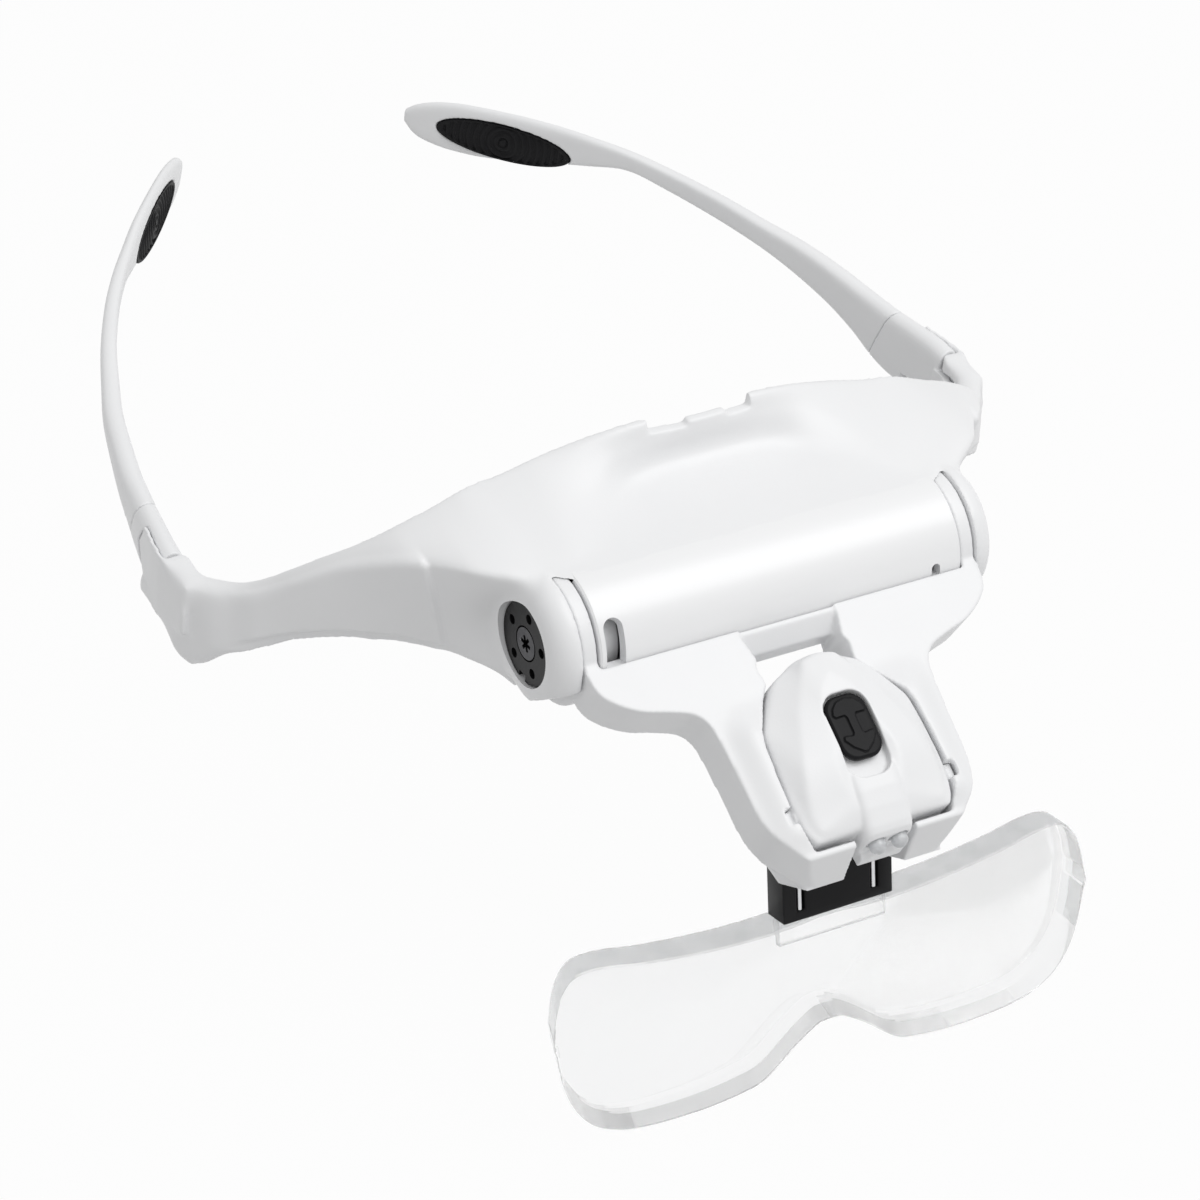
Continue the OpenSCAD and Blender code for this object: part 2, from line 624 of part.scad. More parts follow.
// Lamp: two shells that meet on one plane
shell_split = 4;
cell_u = 28.4;
cell_low = 0.05;
cell_high = cell_low + 3 * cell_t;
ceiling = cell_high + 0.45;
contact_t = 0.25;
floor_t = lamp_back + 0.4;
door_half = 7.1;
door_from = cell_u - cell_d / 2 - 1.4;
door_to = cell_u + cell_d / 2 + 3.6;
door_t = 0.75;
door_gap = 0.15;
door_screw_u = door_to - 1.5;
shell_screw_x = 11;
shell_screw_u = 40;
knob_from = 27.8;
knob_floor = lamp_crown - 2.3;
stem_u = knob_from + knob_len - 3;
nose_half = 5;
nose_tip = lamp_pivot_u + 9;
led_u = lamp_pivot_u + 1.8;
board_t = 0.8;
slab_t = 0.2;

module lamp_slab(half, w) {
    sloped_plate(around(half), w, w + slab_t);
}

module lamp_cavity(low, high) {
    sloped_plate(around(lamp_shape(-lamp_wall)), low, high);
}

module rounded_slot(half, from_u, to_u, low, high) {
    r = half * 0.72;
    translate([0, 0, low]) linear_extrude(high - low) polygon(concat(
        arc(r, 0, 90, 5, [half - r, -from_u - r]), arc(r, 90, 180, 5, [r - half, -from_u - r]),
        arc(r, 180, 270, 5, [r - half, -to_u + r]), arc(r, 270, 360, 5, [half - r, -to_u + r])));
}

module lamp_front_shell() {
    plateau = [[0, lamp_top + 0.6], [3.2, lamp_top + 1.6], [7.6, lamp_top + 10.2],
               [11.2, lamp_top + 21.5], [11.4, lamp_low - 4.4], [9.6, lamp_low - 1.6]];
    crown = [[0, lamp_top + 7], [2.6, lamp_top + 9.4], [3.4, lamp_top + 20]];
    color(white) in_yoke() difference() {
        union() {
            difference() {
                union() {
                    hull() {
                        lamp_slab(lamp_shape(0), shell_split);
                        lamp_slab(lamp_shape(0), lamp_rim - slab_t);
                        lamp_slab(plateau, lamp_crown - 1.5);
                        lamp_slab(crown, lamp_crown - slab_t);
                    }
                    sloped_prism([[lamp_pivot_u - 4, shell_split + eps], [lamp_pivot_u - 4, lamp_crown - 0.5],
                                  [nose_tip - 1.7, lamp_rim + 0.6], [nose_tip, 1.2], [nose_tip - 2.8, 0.7],
                                  [lamp_pivot_u + 6.2, shell_split + eps]], nose_half);
                }
                lamp_cavity(shell_split - 1, ceiling);
                rounded_slot(knob_w / 2 + 0.3, knob_from - 0.3,
                             knob_from + knob_len + knob_travel + 0.3, knob_floor, far);
                translate([-1.3, -stem_u - 1.3 - knob_travel, 0]) cube([2.6, 2.6 + knob_travel, far]);
            }
            // Posts for the two shell screws, and the pivot pins
            for (side = [-1, 1]) translate([side * shell_screw_x, -shell_screw_u, shell_split])
                cylinder(h = ceiling - shell_split + eps, r = 1.9);
            both_sides() translate([0, -lamp_pivot_u, lamp_pivot_w])
                along_x(lamp_half - lamp_wall, lamp_wall + 1.8, lamp_pin_r);
        }
        for (side = [-1, 1]) {
            translate([side * led_pitch / 2, -led_u, lamp_pivot_w]) rotate([90, 0, 0])
                cylinder(h = far, r = led_d / 2 + 0.1);
            translate([side * shell_screw_x, -shell_screw_u, 0])
                cylinder(h = ceiling - 1, r = small_screw_r + run_gap);
        }
    }
}

module lamp_rear_shell() {
    color(white) in_yoke() difference() {
        intersection() {
            sloped_plate(around(lamp_shape(0)), -lamp_back, shell_split);
            // Drawn in at the upper end, so that it clears the yoke's opening when the lamp swings out
            translate([0, -lamp_pivot_u, lamp_pivot_w]) rotate([-lamp_turn, 0, 0])
                translate([0, lamp_pivot_u, 0]) sloped_plate(around(lamp_shape(lamp_gap - 0.2)), -far, far);
            // The lower end swings past the socket, so it is round about the pivot
            union() {
                translate([-far / 2, -lamp_pivot_u, -far / 2]) cube([far, far, far]);
                translate([0, -lamp_pivot_u, lamp_pivot_w]) along_x(-far / 2, far, lamp_swing);
            }
        }
        difference() {
            lamp_cavity(floor_t - lamp_back, shell_split + 1);
            for (side = [-1, 1]) translate([side * shell_screw_x, -shell_screw_u, 0])
                cylinder(h = shell_split, r = 2.2);
        }
        translate([0, -cell_u, -far / 2]) cylinder(h = far, r = cell_d / 2 + 0.2);
        translate([-door_half - door_gap, -door_to - door_gap, -lamp_back - 1])
            cube([2 * (door_half + door_gap), door_to - door_from + 2 * door_gap, 1 + door_t + 0.1]);
        translate([0, -door_screw_u, -lamp_back]) cylinder(h = far, r = small_screw_r + run_gap);
        // The nose of the front shell takes up the middle of the lower end
        sloped_prism([[lamp_pivot_u + 3.4, shell_split + 1], [lamp_pivot_u + 3.4, -far],
                      [far, -far], [far, shell_split + 1]], nose_half + 0.15);
        for (side = [-1, 1]) translate([side * shell_screw_x, -shell_screw_u, -lamp_back - 1]) {
            cylinder(h = far, r = small_screw_r + run_gap);
            cylinder(h = 1.9, r = 1.6);
        }
    }
}

module lamp_shell_screws() {
    color("silver") in_yoke() for (side = [-1, 1])
        translate([side * shell_screw_x, -shell_screw_u, -lamp_back + 0.1]) {
            cylinder(h = shell_split + lamp_back + 3, r = small_screw_r);
            cylinder(h = 0.8, r = 1.5);
        }
}

module battery_door() {
    color(white) in_yoke() difference() {
        translate([-door_half, -door_to, -lamp_back]) cube([2 * door_half, door_to - door_from, door_t]);
        translate([0, -door_screw_u, -lamp_back - 1]) cylinder(h = 3, r = small_screw_r + run_gap);
        for (k = [0:3]) translate([-2.5, -door_from - 2 - k * 1.3, -lamp_back - 1]) cube([5, 0.6, 1.25]);
    }
}

module battery_door_screw() {
    color("silver") in_yoke() translate([0, -door_screw_u, -lamp_back - 0.6]) {
        cylinder(h = 0.6, r = 1.4);
        cylinder(h = 3, r = small_screw_r);
    }
}

module button_cell(k) {
    color("silver") in_yoke() translate([0, -cell_u, cell_low + k * cell_t]) {
        cylinder(h = cell_t - 0.35, r = cell_d / 2);
        translate([0, 0, cell_t - 0.36]) cylinder(h = 0.34, r = cell_d / 2 - 1.6);
    }
}

// Spring strip over the stack, with a leg down to the switch
module cell_contact_positive() {
    reach = cell_u + cell_d / 2 + 0.4;
    color("gold") in_yoke() {
        translate([-2, -reach, cell_high + 0.02]) cube([4, reach - cell_u + 2, contact_t]);
        translate([-2, -reach, cell_high - 2.5]) cube([4, contact_t, 2.6]);
    }
}

// Strip under the stack, lying on the battery door
module cell_contact_negative() {
    reach = cell_u + cell_d / 2 + 0.05;
    color("gold") in_yoke() translate([-2, -reach + 0.3, cell_low - contact_t - 0.02])
        cube([4, reach - cell_u + 2, contact_t]);
}

module led_board() {
    color([0.1, 0.35, 0.2]) in_yoke()
        translate([-8, -led_u, shell_split + 0.2]) cube([16, board_t, ceiling - shell_split - 0.3]);
}

module led(side) {
    reach = nose_tip - led_u - 0.6;
    color([0.9, 0.93, 0.95]) in_yoke()
        translate([side * led_pitch / 2, -led_u - 0.05, lamp_pivot_w]) rotate([90, 0, 0]) {
            cylinder(h = reach, r = led_d / 2);
            translate([0, 0, reach]) sphere(r = led_d / 2);
        }
}

module switch_body() {
    from_u = cell_u + cell_d / 2 + 0.9;
    to_u = led_u - board_t - 0.4;
    color([0.3, 0.3, 0.32]) in_yoke()
        translate([-3.5, -to_u, ceiling - 3.6]) cube([7, to_u - from_u, 3.5]);
}

module switch_knob() {
    grip_w = knob_w - 2.4;
    color(black) in_yoke() {
        difference() {
            rounded_slot(knob_w / 2, knob_from, knob_from + knob_len, knob_floor + 0.15, lamp_crown + 0.1);
            rounded_slot(grip_w / 2, knob_from + 1.2, knob_from + knob_len - 1.2, lamp_crown - 0.5, far);
        }
        // Raised arrow that points both ways
        translate([0, 0, lamp_crown - 0.6]) linear_extrude(0.6) mirror([0, 1])
            polygon(mirrored([
                [0.2, knob_from + 1.6], [2.3, knob_from + 4], [0.9, knob_from + 4],
                [0.9, knob_from + 8], [2.3, knob_from + 8], [0.2, knob_from + knob_len - 1.6]]));
        translate([-1, -stem_u - 1, ceiling + 0.1]) cube([2, 2, knob_floor + 0.2 - ceiling]);
    }
}

// Lens and clip, in the lens's frame
lens_front = clip_front - 2.6;
lens_top = clip_low + 0.1;
tab_back = clip_back + 1.2;
tab_depth = 12;
neck_half = clip_w / 2 - 0.3;
// Right half of the lens from the middle to its end: place and depth of a
// point on the upper edge, then of its partner on the lower edge
lens_edge = [
    [0.04, 0.085, 0.02, 0.69], [0.14, 0.098, 0.053, 0.709], [0.25, 0.101, 0.131, 0.792],
    [0.382, 0.095, 0.245, 0.935], [0.5, 0.08, 0.336, 0.976], [0.6, 0.062, 0.473, 1],
    [0.691, 0.042, 0.647, 1], [0.825, 0.003, 0.769, 0.973], [0.915, 0.012, 0.867, 0.902],
    [0.96, 0.08, 0.931, 0.786], [0.985, 0.181, 0.973, 0.626], [1, 0.318, 0.995, 0.424]
];
lens_upper = [for (p = lens_edge) [p[0] * lens_half, -lens_top - p[1] * lens_h]];
lens_lower = [for (p = lens_edge) [p[2] * lens_half, -lens_top - p[3] * lens_h]];
lens_ring = concat(reversed([for (p = lens_upper) [-p[0], p[1]]]), lens_upper,
                   reversed(lens_lower), [for (p = lens_lower) [-p[0], p[1]]]);
lens_taper = 0.962;

module standing(outline, back, thick) {
    translate([0, -back, 0]) rotate([90, 0, 0]) linear_extrude(thick) polygon(outline);
}

module lens_plate() {
    color([0.86, 0.9, 0.92]) in_lens() {
        loft([for (end = [[lens_front, 1], [lens_front - lens_t, lens_taper]])
            [for (p = lens_ring) [p[0] * end[1], -end[0], p[1]]]]);
        standing([[-neck_half, -clip_low - 0.3], [neck_half, -clip_low - 0.3], [neck_half, -clip_low - 5],
                  [-neck_half, -clip_low - 5]], tab_back, lens_tab_t);
        standing([[-lens_tab_w / 2, -clip_low + tab_depth], [lens_tab_w / 2, -clip_low + tab_depth],
                  [lens_tab_w / 2, -clip_low - 1], [-lens_tab_w / 2, -clip_low - 1]], tab_back, lens_tab_t);
    }
}

spring_x = 7.5;
spring_r = 0.5;
slot_w = 1.7;
slot_low = 1.8;

module lens_clip() {
    color(black) in_lens() difference() {
        translate([-clip_w / 2, -clip_front, -clip_low]) cube([clip_w, clip_t, clip_h]);
        translate([-lens_tab_w / 2 - plug_gap, -tab_back - lens_tab_t - plug_gap, -clip_low - 1])
            cube([lens_tab_w + 2 * plug_gap, lens_tab_t + 2 * plug_gap, tab_depth + 1 + plug_gap]);
        for (side = [-1, 1]) translate([side * spring_x - slot_w / 2, -clip_front - 1, -clip_low + slot_low])
            cube([slot_w, 2.5, clip_h]);
    }
}

module clip_springs() {
    color("silver") in_lens() for (side = [-1, 1])
        translate([side * spring_x, -clip_front + 0.75, -clip_low + slot_low + 0.1])
            cylinder(h = clip_h - slot_low - 0.6, r = spring_r);
}

// Temple: share of its length, inset from the hinge as a share of it, rise
// of the top edge, thickness, and heights of the outer and the inner side
temple = [
    [0.036, 0.001, 0, 1, 11.2, 12.5], [0.07, 0.004, 0.3, 1, 11.2, 12.7],
    [0.116, 0.012, 0.3, 0.97, 10.9, 12.8], [0.161, 0.021, 0.2, 0.93, 9.8, 12.3],
    [0.2, 0.029, 0.35, 0.9, 8.6, 11.2], [0.247, 0.038, 0.6, 0.87, 7, 9.2],
    [0.309, 0.054, 1.4, 0.82, 5.8, 7.6], [0.387, 0.078, 2.1, 0.75, 4.6, 6.2],
    [0.457, 0.108, 2.7, 0.68, 3.9, 4.9], [0.543, 0.148, 3.9, 0.6, 3.6, 4.5],
    [0.628, 0.196, 5.1, 0.54, 3.2, 4], [0.69, 0.239, 6.2, 0.5, 3.2, 3.8]
];
// Paddle: share of the length, inset, rise, thickness, and height as a share
paddle = [
    [0.745, 0.281, 6.8, 0.49, 0.57], [0.794, 0.319, 7.1, 0.49, 0.76], [0.845, 0.362, 7.1, 0.49, 0.92],
    [0.894, 0.405, 6.8, 0.49, 1], [0.93, 0.438, 6.4, 0.48, 0.98], [0.958, 0.465, 5.6, 0.46, 0.86],
    [0.982, 0.488, 4.2, 0.42, 0.62], [0.998, 0.503, 2.4, 0.36, 0.22]
];
hinge_face = hinge_half + lug_out;
temple_rail = concat(
    [for (s = temple) [hinge_face - s[1] * temple_len, hinge_back + s[0] * temple_len, s[2] - hinge_top]],
    [for (s = paddle) [hinge_face - s[1] * temple_len, hinge_back + s[0] * temple_len, s[2] - hinge_top]]);
temple_size = concat(
    [for (s = temple) [s[3] * temple_t, s[4], s[5]]],
    [for (s = paddle) [s[3] * temple_t, s[4] * paddle_h - 0.5, s[4] * paddle_h]]);

// Plan direction from the outer face to the wearer's side
function temple_in(i) =
    let (a = temple_rail[max(i - 1, 0)], b = temple_rail[min(i + 1, len(temple_rail) - 1)],
         d = [b[0] - a[0], b[1] - a[1]])
    [-d[1], d[0], 0] / norm(d);

function temple_ring(i) =
    let (p = temple_rail[i], n = temple_in(i), t = temple_size[i][0],
         ho = temple_size[i][1], hi = temple_size[i][2])
    [for (q = [[0.35, 0], [0.07, -0.14 * ho], [0, -0.42 * ho], [0.05, -0.8 * ho], [0.3, -ho],
               [0.78, -hi], [0.98, -0.88 * hi], [1, -0.45 * hi], [0.95, -0.12 * hi], [0.68, 0]])
        p + n * q[0] * t + [0, 0, q[1]]];

module temple_body() {
    loft([for (i = [0:len(temple_rail) - 1]) temple_ring(i)]);
}

// Everything behind the seam, which leans back towards its lower end
seam_back = 18.6;
seam_lean = 19;
temple_turn = 10.6;
module behind_seam(shift) {
    translate([-far, hinge_back + seam_back + shift, -hinge_top]) rotate([seam_lean, 0, 0])
        translate([0, 0, -far / 2]) cube([2 * far, far, far]);
}

// Plug of the connector, and its room in the arm
module seam_plug(gap) {
    translate([hinge_half - 1.2, hinge_back + seam_back + 1.6, -hinge_top - 5.2]) rotate([0, 0, temple_turn])
        translate([-plug_t / 2 - gap, -4, -plug_h / 2 - gap])
            cube([plug_t + 2 * gap, 4 + plug_len + gap, plug_h + 2 * gap]);
}

module temple_connector() {
    color(white) difference() {
        union() {
            difference() {
                temple_body();
                behind_seam(-0.05);
                // Over the lower lug
                translate([0, 0, lug_low_top + knuckle_gap - far])
                    cube([far, hinge_back + lug_low_back + 1.1, far]);
            }
            seam_plug(0);
            translate([hinge_half, hinge_back, knuckle_low]) cylinder(h = knuckle_h, r = knuckle_r);
            translate([hinge_half - 2, hinge_back, knuckle_low]) cube([4.6, lug_back + 1, knuckle_h]);
        }
        translate([hinge_half, hinge_back, -far / 2]) cylinder(h = far, r = pin_r + run_gap);
    }
}

pad_i = 14;
pad_dir = temple_rail[pad_i + 1] - temple_rail[pad_i];
pad_plan = atan2(pad_dir[1], pad_dir[0]);
pad_origin = lerp(temple_rail[pad_i], temple_rail[pad_i + 1], 0.42);
pad_from = 0.25 * temple_t;

module pad_prism(grow, from_depth, to_depth) {
    translate(pad_origin - [0, 0, paddle_h * 0.58]) rotate([0, 0, pad_plan]) rotate([5 - 90, 0, 0])
        translate([0, 0, from_depth]) linear_extrude(to_depth - from_depth)
            polygon([for (a = [0:12:348]) [(pad_len / 2 + grow) * cos(a), (pad_h / 2 + grow) * sin(a)]]);
}

module temple_arm() {
    color(white) difference() {
        intersection() {
            temple_body();
            behind_seam(0.05);
        }
        seam_plug(plug_gap);
        pad_prism(0.15, pad_from, far);
    }
}

module ear_pad() {
    color(black) pad_prism(0, pad_from + 0.05, pad_from + pad_t);
}

visor_shell();
rear_cover();
cover_screws();
nose_pad();
mirror([1, 0, 0]) hinge_pin();  // hinge_pin_left
hinge_pin();  // hinge_pin_right
mirror([1, 0, 0]) pivot_disc();  // pivot_disc_left
pivot_disc();  // pivot_disc_right
both_sides() pivot_washer();  // pivot_washers
both_sides() pivot_screw();  // pivot_screws
lens_yoke();
lamp_front_shell();
lamp_rear_shell();
lamp_shell_screws();
battery_door();
battery_door_screw();
button_cell(0);  // button_cell_1
button_cell(1);  // button_cell_2
button_cell(2);  // button_cell_3
cell_contact_positive();
cell_contact_negative();
led_board();
led(-1);  // led_left
led(1);  // led_right
switch_body();
switch_knob();
lens_clip();
clip_springs();
lens_plate();
mirror([1, 0, 0]) temple_connector();  // temple_connector_left
temple_connector();  // temple_connector_right
mirror([1, 0, 0]) temple_arm();  // temple_arm_left
temple_arm();  // temple_arm_right
mirror([1, 0, 0]) ear_pad();  // ear_pad_left
ear_pad();  // ear_pad_right
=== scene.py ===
import json

import bmesh
import bpy
import numpy as np
from mathutils import Matrix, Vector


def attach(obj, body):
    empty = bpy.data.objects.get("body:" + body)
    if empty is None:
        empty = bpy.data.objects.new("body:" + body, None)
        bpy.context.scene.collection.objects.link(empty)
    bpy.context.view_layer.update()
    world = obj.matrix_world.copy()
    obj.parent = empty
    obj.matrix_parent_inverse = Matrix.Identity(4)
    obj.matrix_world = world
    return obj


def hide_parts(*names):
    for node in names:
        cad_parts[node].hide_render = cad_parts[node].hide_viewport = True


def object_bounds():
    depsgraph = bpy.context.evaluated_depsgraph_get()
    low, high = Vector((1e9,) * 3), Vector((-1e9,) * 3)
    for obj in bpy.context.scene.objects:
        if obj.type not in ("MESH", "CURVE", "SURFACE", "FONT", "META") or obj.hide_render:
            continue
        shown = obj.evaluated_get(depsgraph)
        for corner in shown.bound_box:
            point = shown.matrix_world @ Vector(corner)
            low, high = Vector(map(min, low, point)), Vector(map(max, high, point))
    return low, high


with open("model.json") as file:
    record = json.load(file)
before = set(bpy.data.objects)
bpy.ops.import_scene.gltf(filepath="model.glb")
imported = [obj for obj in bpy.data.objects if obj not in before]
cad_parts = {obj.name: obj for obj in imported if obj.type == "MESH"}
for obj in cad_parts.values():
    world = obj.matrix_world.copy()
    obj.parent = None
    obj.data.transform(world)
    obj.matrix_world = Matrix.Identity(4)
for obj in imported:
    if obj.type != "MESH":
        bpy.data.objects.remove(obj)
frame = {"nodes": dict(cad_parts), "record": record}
cad_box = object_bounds()

# Camera: a long lens high on the photo's left, looking down on the front of
# the magnifier, which fills the square picture from edge to edge.
def placed(name, data):
    """A new object that shows the data, put in the scene."""
    made = bpy.data.objects.new(name, data)
    bpy.context.collection.objects.link(made)
    return made


studio_camera = placed("studio_camera", bpy.data.cameras.new("studio_camera"))
studio_camera.data.lens = 150.046
studio_camera.data.sensor_width = 36
studio_camera.data.clip_end = 20
studio_camera.location = (-0.409707, -0.555631, 0.505685)
studio_camera.rotation_euler = np.radians((53.17495, -5.40139, -30.35195))
bpy.context.scene.camera = studio_camera
bpy.context.scene.view_settings.view_transform = "Standard"


# Visor: one white ABS moulding with the pivot drum, two end caps, the bulge
# over the drum, the brow and two wings that end in hinge lugs. It has a
# satin face from a finely eroded mould, and the drum itself is polished,
# with its white painted a little lighter there as painted light.
class Wiring:
    """A tree of shader nodes. A socket is filled with a value or with another node's output."""

    def __init__(self, tree):
        self.tree = tree

    def fill(self, node, sockets):
        """Gives each named or numbered socket of the node its value or its link."""
        for name, value in sockets.items():
            if isinstance(value, bpy.types.NodeSocket):
                self.tree.links.new(value, node.inputs[name])
            else:
                node.inputs[name].default_value = value

    def node(self, kind, settings, sockets, output=0):
        """Adds a node and returns one of its outputs. The settings come first, as they change the sockets."""
        made = self.tree.nodes.new(kind)
        for name, value in settings.items():
            setattr(made, name, value)
        self.fill(made, sockets)
        return made.outputs[output]

    def math(self, operation, *values):
        """Result of one Math node."""
        return self.node("ShaderNodeMath", {"operation": operation}, dict(enumerate(values)))


class Finish(Wiring):
    """A material with one Principled shader."""

    def __init__(self, name, **steady):
        self.material = bpy.data.materials.new(name)
        self.material.use_nodes = True
        super().__init__(self.material.node_tree)
        self.shader = self.tree.nodes["Principled BSDF"]
        self.feed(**steady)

    def feed(self, **sockets):
        """Fills the shader's sockets of those names."""
        self.fill(self.shader, {name.replace("_", " "): value for name, value in sockets.items()})

    def grain(self, size, detail=3.0):
        """Noise from 0 to 1 whose spots are about size metres across."""
        place = self.node("ShaderNodeTexCoord", {}, {}, "Object")
        return self.node("ShaderNodeTexNoise", {}, {"Vector": place, "Scale": 1 / size, "Detail": detail})

    def between(self, share, low, high):
        """Colour at a share of the way from low to high. Sockets 6 and 7 of a Mix node take its colours."""
        return self.node("ShaderNodeMix", {"data_type": "RGBA"}, {0: share, 6: low, 7: high}, 2)

    def relief(self, height, depth):
        """Normal of a surface whose height from 0 to 1 stands for depth metres."""
        return self.node("ShaderNodeBump", {}, {"Height": height, "Distance": depth})


def flecked(name, size, colour, colour_2, fine, rough, rough_2, detail=3.0, **steady):
    """Smooth material with clouds in its colour of one size and in its gloss of a finer one."""
    finish = Finish(name, **steady)
    finish.feed(Base_Color=finish.between(finish.grain(size, detail), colour, colour_2),
                Roughness=finish.math("MULTIPLY_ADD", finish.grain(fine), rough_2 - rough, rough))
    return finish


def moulded(name, colour, colour_2, rough, rough_2, grain_size, grain_depth, **steady):
    """Moulded plastic or rubber: slow clouds in colour and gloss over the fine grain of an eroded mould."""
    finish = flecked(name, 0.021, colour, colour_2, 0.006, rough, rough_2, 4.0, **steady)
    finish.feed(Normal=finish.relief(finish.grain(grain_size, 2.0), grain_depth))
    return finish


def coated(piece, finish):
    """Gives a piece the finish as its only material."""
    piece.data.materials.clear()
    piece.data.materials.append(finish.material)


def dressed(piece, finish, body, node):
    """Gives a finished piece its material and its body, and hides the CAD node it stands for."""
    coated(piece, finish)
    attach(piece, body)
    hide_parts(node)


def rows_of(items, what):
    """The named vector of every vertex or face of a mesh, one row each."""
    values = np.empty(len(items) * 3)
    items.foreach_get(what, values)
    return values.reshape(-1, 3)


def also_coated(piece, finish, where):
    """Gives the faces where the test holds a second finish."""
    piece.data.materials.append(finish.material)
    piece.data.polygons.foreach_set("material_index", where.astype(np.int32))


def through(points, steps):
    """Rows between the given rows, on cubics that pass each row parallel to the chord of its neighbours."""
    given = np.asarray(points, float)
    padded = np.concatenate([2 * given[:1] - given[1:2], given, 2 * given[-1:] - given[-2:-1]])
    t = np.linspace(0, 1, steps, endpoint=False).reshape((1, -1) + (1,) * (given.ndim - 1))
    a, b, c, d = (padded[i:len(given) - 1 + i][:, None] for i in range(4))
    runs = 0.5 * (2 * b + (c - a) * t + (2 * a - 5 * b + 4 * c - d) * t**2 + (3 * b - a - 3 * c + d) * t**3)
    return np.concatenate([runs.reshape((-1,) + given.shape[1:]), given[-1:]])


def skin(name, points, faces):
    """A closed mesh whose faces are turned to look away from its inside."""
    mesh = bpy.data.meshes.new(name)
    mesh.from_pydata(points.reshape(-1, 3).tolist(), [], faces)
    mesh.validate()
    work = bmesh.new()
    work.from_mesh(mesh)
    bmesh.ops.remove_doubles(work, verts=work.verts, dist=1e-7)
    bmesh.ops.recalc_face_normals(work, faces=work.faces)
    work.to_mesh(mesh)
    work.free()
    return placed(name, mesh)


def closed_tube(name, rings):
    """Skin over a stack of closed rings of equal count, with one face across the first and the last ring."""
    count, around = rings.shape[:2]
    index = np.arange(count * around).reshape(count, around)
    turned = np.roll(index, -1, axis=1)
    quads = np.stack([index[:-1], turned[:-1], turned[1:], index[1:]], axis=-1).reshape(-1, 4)
    faces = quads.tolist() + [index[0, ::-1].tolist(), index[-1].tolist()]
    return skin(name, rings, faces)


def prism(name, outline, low, high, axes):
    """Straight bar with the outline as its section. axes gives the outline's two axes, then the bar's."""
    outline = np.asarray(outline, float)
    rings = np.empty((2, len(outline), 3))
    rings[:, :, axes[0]] = outline[:, 0]
    rings[:, :, axes[1]] = outline[:, 1]
    rings[:, :, axes[2]] = np.array([[low], [high]])
    return closed_tube(name, rings)


def full_turn(steps):
    """Angles of a whole turn in equal steps."""
    return np.linspace(0, 2 * np.pi, steps, endpoint=False)


def circle(centre, radius, steps):
    """Points round a centre, at the radius times the cosine and the sine of each angle of a turn."""
    angle = full_turn(steps)
    return np.stack([centre[0] + radius * np.cos(angle), centre[1] + radius * np.sin(angle)], axis=-1)


def turned_part(name, profile, steps=128):
    """Ring turned about the drum's axis: each profile point (along the axis, radius) draws a full circle."""
    profile = np.asarray(profile, float)
    angle = full_turn(steps)
    rings = np.stack([
        np.broadcast_to(profile[:, 0], (steps, len(profile))),
        np.cos(angle)[:, None] * profile[:, 1],
        np.sin(angle)[:, None] * profile[:, 1]], axis=-1)
    wrapped = np.concatenate([rings, rings[:1]])
    index = np.arange(wrapped[:, :, 0].size).reshape(wrapped.shape[:2])
    after = np.roll(index, -1, axis=1)
    faces = np.stack([index[:-1], index[1:], after[1:], after[:-1]], axis=-1).reshape(-1, 4)
    return skin(name, wrapped, faces.tolist())


def rod(name, low, high, radius, centre=(0.0, 0.0), steps=96):
    """Round bar parallel to the drum's axis, centred at (Y, Z)."""
    return prism(name, circle(centre, radius, steps), low, high, (1, 2, 0))


def rod_pair(name, low, high, radius):
    """The same round bar on the left and on the right, from low to high off the middle."""
    return [rod(name, *sorted((side * low, side * high)), radius) for side in (-1, 1)]


def frozen(piece):
    """Makes what the modifiers show the piece's own mesh."""
    seen = piece.evaluated_get(bpy.context.evaluated_depsgraph_get())
    mesh = bpy.data.meshes.new_from_object(seen)
    piece.modifiers.clear()
    piece.data = mesh
    return piece


def worked(piece, *steps):
    """Each step adds its tools, cuts them out or keeps the overlap. The tools are then thrown away."""
    steps = [(operation, tool) for operation, *tools in steps for tool in tools]
    for operation, tool in steps:
        change = piece.modifiers.new(operation, "BOOLEAN")
        change.operation = operation
        change.solver = "MANIFOLD"
        change.object = tool
    frozen(piece)
    for _, tool in steps:
        bpy.data.objects.remove(tool)
    return piece


def cast(piece, cell, rounds):
    """Recasts a piece in small cells and lets its edges flow, as plastic rounds the edges of a mould."""
    cells = piece.modifiers.new("cells", "REMESH")
    cells.mode = "VOXEL"
    cells.voxel_size = cell
    flow = piece.modifiers.new("flow", "SMOOTH")
    flow.factor = 0.5
    flow.iterations = rounds
    return frozen(piece)


def thinned(piece, limit):
    """Keeps about as many triangles as the limit, with smooth shading."""
    triangles = sum(len(face.vertices) - 2 for face in piece.data.polygons)
    if triangles > limit:
        thin = piece.modifiers.new("thin", "DECIMATE")
        thin.ratio = limit / triangles
        frozen(piece)
    piece.data.shade_smooth()
    return piece


def melted(piece, weight, rounds):
    """Draws each vertex towards the mean of its neighbours, round by round, by the weight at its place."""
    pull = 0.6
    places = rows_of(piece.data.vertices, "co")
    count = len(places)
    edges = np.empty(len(piece.data.edges) * 2, np.int32)
    piece.data.edges.foreach_get("vertices", edges)
    share = weight(places)[:, None]
    edges = edges.reshape(-1, 2)
    edges = edges[share[edges, 0].max(axis=1) > 0]
    ends, others = edges.ravel(), edges[:, ::-1].ravel()
    moving = share[:, 0] > 0
    degree = np.bincount(ends, minlength=count)[moving, None]
    for _ in range(rounds):
        total = np.stack([np.bincount(ends, places[others, axis], count) for axis in range(3)], axis=-1)
        places[moving] += pull * share[moving] * (total[moving] / degree - places[moving])
    piece.data.vertices.foreach_set("co", places.ravel())
    piece.data.update()
    return piece


